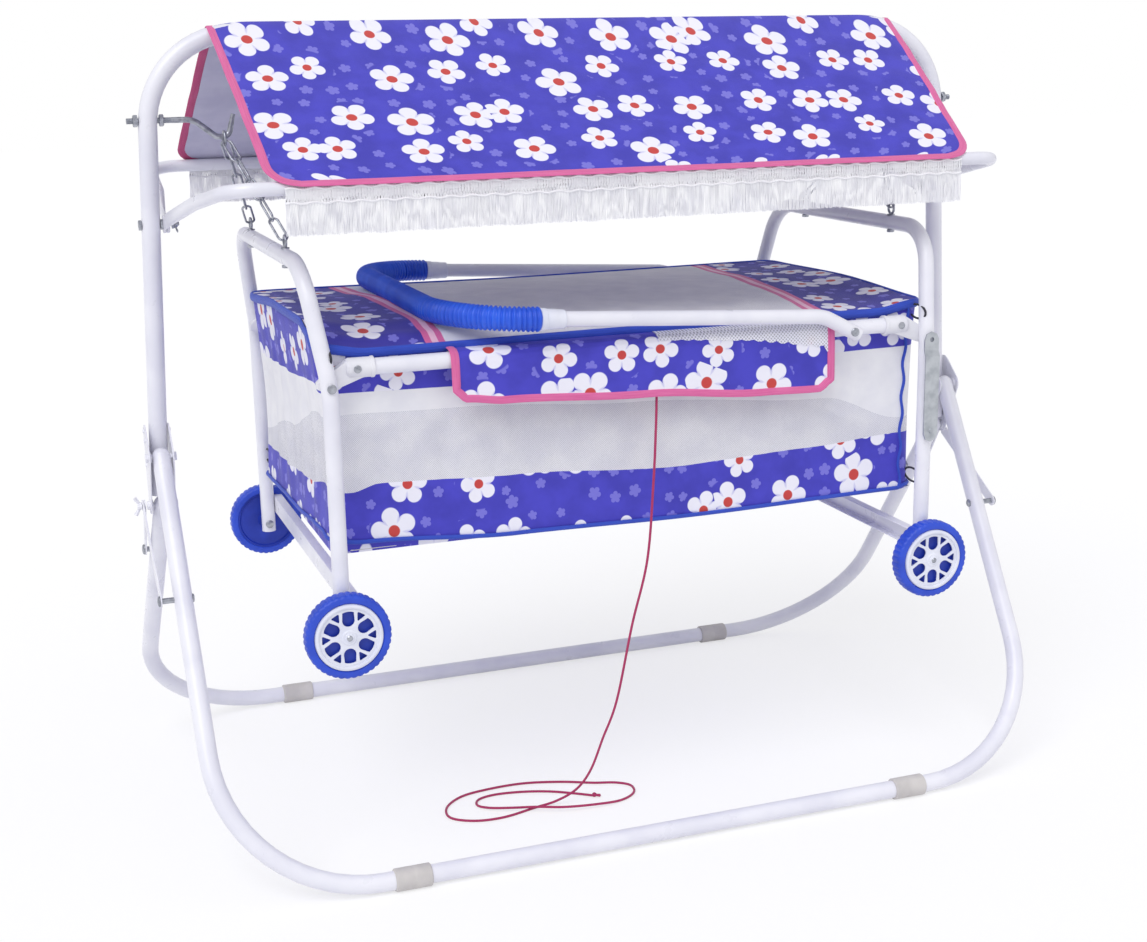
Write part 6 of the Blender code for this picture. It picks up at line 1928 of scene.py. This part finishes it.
@dataclass
class BasketCover:
    """The cover: printed ends, two zip strips and netting between them, and the front flap."""

    finishes: Finishes
    cloth: BasketCloth
    zip_width: float = 0.027
    lace_left: float = 0.02
    scallop: float = 0.018
    flap_span: tuple[float, float] = (-0.268, 0.284)
    flap_hang: Marks = (
        (-0.247, 0.7045), (-0.2565, 0.704), (-0.264, 0.7032), (-0.2705, 0.7), (-0.274, 0.694),
        (-0.2752, 0.686), (-0.2756, 0.67), (-0.2758, 0.61))
    flap_ends: Marks = (
        (-0.268, 0.652), (-0.255, 0.64), (-0.2, 0.634), (0.0, 0.625), (0.18, 0.612), (0.265, 0.61),
        (0.284, 0.622))

    def edge_z(self, x: float, y: float) -> float:
        """The cover's height between the four edges of the wall, which it is sewn to.

        Args:
            x: The place's X.
            y: The place's Y.

        Returns:
            The height.
        """
        tops = self.cloth.tops
        across, deep = (x / TUB_TOP_X + 1) / 2, (y / TUB_Y + 1) / 2
        front, rear = read_off(tops, FRONT_MARK + x), read_off(tops, REAR_MARK - x)
        left, right = read_off(tops, LEFT_MARK - y), read_off(tops, RIGHT_MARK + y)
        corners = [read_off(tops, mark) for mark in CORNER_MARKS]
        sides = (1 - deep) * front + deep * rear + (1 - across) * left + across * right
        low = (1 - across) * corners[0] + across * corners[1]
        high = (1 - across) * corners[3] + across * corners[2]
        return sides - (1 - deep) * low - deep * high

    def place(self, x: float, y: float) -> Vector:
        """A place on the cover, slightly crowned and wrinkled.

        Args:
            x: The place's X.
            y: The place's Y.

        Returns:
            The place.
        """
        crown = 0.002 * (1 - (x / TUB_TOP_X) ** 2) * (1 - (y / TUB_Y) ** 2)
        fold = ripple(x, y, 0.11, 5.0) * 0.0022 + ripple(x * 2, y, 0.05, 9.0) * 0.001
        near = min((TUB_TOP_X - abs(x)) / 0.03, (TUB_Y - abs(y)) / 0.03, 1.0)
        return Vector((x, y, self.edge_z(x, y) + crown + fold * max(near, 0) + 0.0004))

    def build(self) -> None:
        """Builds the cover's sheet, with its zip strips, and the flap."""
        columns = (0, 18, 22, 24, 28, 76, 80, 82, 86, 104)
        kinds = (0, 1, 2, 1, 3, 1, 2, 1, 0)

        def surface(column: float, y: float) -> Vector:
            """A place on the cover from its column and Y.

            Args:
                column: The column, from the left.
                y: The place's Y.

            Returns:
                The place.
            """
            share = (y + TUB_Y) / (2 * TUB_Y)
            left = -0.271 - 0.027 * share - self.zip_width
            right = 0.265 + 0.032 * share
            third = self.zip_width / 3
            edges = (-TUB_TOP_X, left, left + third, left + 2 * third, left + self.zip_width, right,
                     right + third, right + 2 * third, right + self.zip_width, TUB_TOP_X)
            index = band_at(columns, column)
            part = (column - columns[index]) / (columns[index + 1] - columns[index])
            x = edges[index] + (edges[index + 1] - edges[index]) * part
            past = max(0.0, abs(y) - TUB_Y + TUB_CORNER)
            limit = TUB_TOP_X - TUB_CORNER + sqrt(max(TUB_CORNER ** 2 - past ** 2, 0.0))
            return self.place(max(-limit, min(limit, x)), y)

        mesh = sheet_grid((0, columns[-1], -TUB_Y, TUB_Y), (columns[-1], 60), surface,
                          lambda column, y: kinds[band_at(columns, column)])
        area = lay_uv(mesh, lambda spot, uv: (spot.x, spot.y))
        cloths = [self.finishes.print_dark, self.finishes.binding, self.finishes.zip_white,
                  self.finishes.cover_net]
        piece = make_piece("cover_cloth", mesh, cloths, Slot.NET_CLOTH, Body.CRADLE, ["net_cover"],
                           keep_normals=True)
        self.flap()

    def flap_profile(self, x: float, reach: float, lift: float = 0.0) -> Vector:
        """A place on the flap from its X and how far it lies from the flap's root, over the rail and down.

        Args:
            x: The place's X.
            reach: From 0 at the root to 1 at the edge.
            lift: How far out of the flap.

        Returns:
            The place.
        """
        bottom = read_off(self.flap_ends, x)
        route = [*self.flap_hang[:-1], (self.flap_hang[-1][0], bottom)]
        index = min(int(reach * 7), 6)
        part = reach * 7 - index
        (first_y, first_z), (next_y, next_z) = route[index], route[index + 1]
        hang = max(reach - 0.75, 0.0) / 0.25
        wave = ripple(x, 0, 0.07, 6.0) * 0.0022 * hang - 0.0012 * hang
        return Vector((x, first_y + (next_y - first_y) * part - lift * min(reach * 3, 1) + max(wave, -0.001),
                       first_z + (next_z - first_z) * part + lift * max(1 - reach * 2, 0)))

    def flap(self) -> None:
        """Builds the flap over the front rail, its binding and the lace strip on it."""
        left, right = self.flap_span
        mesh = sheet_grid((left, right, 0, 1), (110, 60), lambda x, down: self.flap_profile(x, down ** 0.55))
        area = lay_uv(mesh, lambda spot, uv: (spot.x, spot.z + (spot.y - self.flap_hang[-1][0]) * 0.8))
        bmesh.ops.recalc_face_normals(mesh, faces=mesh.faces)
        face_out(mesh, lambda face: -face.normal.y)
        bmesh.ops.solidify(mesh, geom=list(mesh.faces), thickness=0.0008)
        piece = make_piece("front_flap_cloth", mesh, self.finishes.print, Slot.PRINT_CLOTH, Body.CRADLE,
                           ["front_flap"])
        edge = [self.flap_profile(left, step / 30, 0.0006) for step in range(31)]
        edge += [self.flap_profile(left + (right - left) * step / 90, 1.0, 0.0006) for step in range(1, 90)]
        edge += [self.flap_profile(right, step / 30, 0.0006) for step in range(30, -1, -1)]
        trim = make_piece("flap_binding", tube(resampled(edge, 200), 0.0058, Vector((0, -1, 0.35)), sides=12,
                                               flat=0.26),
                          self.finishes.binding, Slot.PRINT_CLOTH, Body.CRADLE)

        def lace(x: float, down: float) -> Vector:
            """A place on the lace strip, deeper to the right and scalloped at its edge.

            Args:
                x: The place's X.
                down: From 0 at the top to 1 at the scallops.

            Returns:
                The place.
            """
            share = (x - self.lace_left) / (right - self.lace_left)
            depth = 0.5 + 0.36 * share + 0.03 * abs(sin(x * pi / self.scallop))
            return self.flap_profile(x, down * depth, 0.001)

        net = sheet_grid((self.lace_left, right - 0.004, 0, 1), (130, 30), lace)
        lace_area = lay_uv(net, lambda spot, uv: (spot.x * 0.5, spot.z * 0.5))
        strip = make_piece("flap_lace_strip", net, self.finishes.net, Slot.NET_CLOTH, Body.CRADLE)


@dataclass
class PullCord:
    """The thin crimson cord that hangs from under the flap and lies in a loose loop on the floor."""

    finishes: Finishes
    diameter: float = 0.0036
    route: tuple[Place, ...] = (
        (0.018, -0.2714, 0.66), (0.018, -0.2714, 0.62), (0.014, -0.277, 0.57),
        (0.008, -0.282, 0.5), (-0.002, -0.282, 0.389), (-0.022, -0.272, 0.292),
        (-0.04, -0.255, 0.175), (-0.056, -0.238, 0.112), (-0.07, -0.224, 0.06),
        (-0.087, -0.209, 0.026), (-0.115, -0.198, 0.007), (-0.15, -0.199, 0.0024),
        (-0.2, -0.212, 0.0024), (-0.243, -0.208, 0.0024), (-0.274, -0.185, 0.0024),
        (-0.27, -0.15, 0.0024), (-0.24, -0.122, 0.0024), (-0.196, -0.112, 0.0024),
        (-0.14, -0.112, 0.0024), (-0.085, -0.128, 0.0024), (-0.04, -0.15, 0.0024),
        (-0.008, -0.162, 0.0024), (0.01, -0.18, 0.0024), (0.004, -0.206, 0.0024),
        (-0.024, -0.224, 0.003), (-0.066, -0.229, 0.006), (-0.112, -0.224, 0.0078),
        (-0.15, -0.208, 0.0078), (-0.184, -0.194, 0.0062), (-0.212, -0.178, 0.004),
        (-0.226, -0.16, 0.0026), (-0.218, -0.141, 0.0024), (-0.19, -0.134, 0.0024),
        (-0.15, -0.14, 0.0024), (-0.112, -0.154, 0.0024), (-0.08, -0.174, 0.0024),
        (-0.054, -0.193, 0.0024))

    def smooth(self) -> Route:
        """Runs one smooth curve through the route's points.

        Returns:
            The curve's points.
        """
        points = [Vector(point) for point in self.route]
        padded = [points[0] * 2 - points[1]] + points + [points[-1] * 2 - points[-2]]
        curve = []
        for first, second, third, fourth in zip(padded, padded[1:], padded[2:], padded[3:]):
            for step in range(8):
                t = step / 8
                curve.append(0.5 * ((2 * second) + (third - first) * t
                                    + (2 * first - 5 * second + 4 * third - fourth) * t * t
                                    + (3 * second - first - 3 * third + fourth) * t ** 3))
        return resampled(curve + [points[-1]], 300)

    def build(self) -> None:
        """Builds the cord and the knot at its end."""
        curve = self.smooth()
        length = travelled(curve)[-1]
        mesh = tube(curve, self.diameter / 2, None, sides=12)
        cord = make_piece("pull_cord_yarn", mesh, self.finishes.cord, Slot.CORD, Body.CRADLE, ["pull_cord"])
        along = (curve[-1] - curve[-3]).normalized()
        knot = turned(curve[-1] - along * 0.003, along,
                      [(0, 0.0016), (0.001, 0.003), (0.003, 0.0036), (0.005, 0.0031), (0.0065, 0.0019),
                       (0.012, 0.0024), (0.013, 0.001)], 20)
        for vert in knot.verts:
            vert.co.z += 0.0014
        end = make_piece("pull_cord_knot", knot, self.finishes.cord, Slot.CORD, Body.CRADLE)
        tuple(self.route[0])
        [tuple(point) for point in curve]


@dataclass
class Studio:
    """The camera at the photograph's view, plain soft light and a pale floor."""

    camera_place: Place = (-0.8524, -2.3578, 1.0784)
    target: Place = (-0.0083, 0.0, 0.453)
    roll: float = radians(-1.0562)
    lens: float = 52.54
    sensor: float = 36.0
    world_level: float = 0.62
    key_level: float = 1.45
    fill_level: float = 0.28
    floor_size: float = 40.0
    glow_level: float = 1.08
    glow_share: float = 0.58

    def build(self) -> None:
        """Builds the camera, the world, the lamps and the floor."""
        self.camera()
        self.light()
        self.floor()

    def camera(self) -> None:
        """Places the camera, turned about its own axis by the roll."""
        place, target = Vector(self.camera_place), Vector(self.target)
        back = (place - target).normalized()
        level = Z_AXIS.cross(back).normalized()
        rise = back.cross(level)
        cosine, sine = cos(self.roll), sin(self.roll)
        right, up = level * cosine + rise * sine, rise * cosine - level * sine
        data = bpy.data.cameras.new("camera")
        data.sensor_fit, data.sensor_width, data.lens = "HORIZONTAL", self.sensor, self.lens
        view = bpy.data.objects.new("camera", data)
        turn = Matrix((right, up, back)).transposed().to_4x4()
        turn.translation = place
        view.matrix_world = turn
        bpy.context.collection.objects.link(view)
        bpy.context.scene.camera = view

    def light(self) -> None:
        """Sets the world, white to the camera, and a soft key from the upper left."""
        scene = bpy.context.scene
        scene.view_settings.view_transform = "Standard"
        world = bpy.data.worlds.new("studio")
        scene.world = world
        world.use_nodes = True
        tree = world.node_tree
        tree.nodes.clear()
        rays = node(tree, "LightPath").outputs
        seen = node(tree, "Math", {"operation": "MAXIMUM", 0: rays["Is Camera Ray"],
                                   1: rays["Is Transmission Ray"]})
        plain = node(tree, "Background", {"Color": linear("#FBFBFF"), "Strength": self.world_level})
        white = node(tree, "Background", {"Color": linear("#FFFFFF"), "Strength": 1.0})
        mixed = node(tree, "MixShader", {0: seen.outputs[0], 1: plain.outputs[0], 2: white.outputs[0]})
        node(tree, "OutputWorld", {0: mixed.outputs[0]})
        lamps = (("key", (38, -14, -28), self.key_level, 42), ("fill", (52, 22, 35), self.fill_level, 80))
        for name, turn, level, spread in lamps:
            lamp = bpy.data.lights.new(name, "SUN")
            lamp.energy, lamp.angle = level, radians(spread)
            holder = bpy.data.objects.new(name, lamp)
            holder.rotation_euler = tuple(radians(value) for value in turn)
            bpy.context.collection.objects.link(holder)

    def floor(self) -> None:
        """Makes the pale floor, which keeps the cradle's shadow."""
        mesh = bmesh.new()
        bmesh.ops.create_grid(mesh, x_segments=1, y_segments=1, size=self.floor_size / 2)
        data = bpy.data.meshes.new("studio_floor")
        mesh.to_mesh(data)
        mesh.free()
        tree = Tree("white_studio_sweep")
        rays = tree.add("LightPath")
        seen = rays["Is Camera Ray"]
        for kind in ("Is Glossy Ray", "Is Transmission Ray"):
            seen = tree.add("Math", {"operation": "MAXIMUM", 0: seen, 1: rays[kind]})[0]
        paint = tree.add("BsdfDiffuse", {"Color": linear("#F4F4F7")})[0]
        glow = tree.add("Emission", {"Color": linear("#FFFFFF"), "Strength": self.glow_level})[0]
        both = tree.add("MixShader", {0: self.glow_share, 1: paint, 2: glow})[0]
        data.materials.append(tree.close(tree.add("MixShader", {0: seen, 1: paint, 2: both})[0]))
        sweep = bpy.data.objects.new("studio_floor", data)
        bpy.context.collection.objects.link(sweep)


def main() -> None:
    """Builds the studio and every part of the cradle, in order."""
    logging.basicConfig(level=logging.INFO, format="%(message)s")
    Studio().build()
    finishes = Finishes()
    PullCord(finishes).build()
    Stand(finishes).build()
    CanopyFrames(finishes).build()
    Hanging(finishes).build()
    BasketFrame(finishes).build()
    for side_name in SIDES:
        for end_name in ENDS:
            Wheel(finishes, side_name, end_name).build()
    PushHandle(finishes).build()
    CanopyCloth(finishes).build()
    bag = BasketCloth(finishes)
    bag.build()
    BasketCover(finishes, bag).build()


if __name__ == "__main__":
    main()
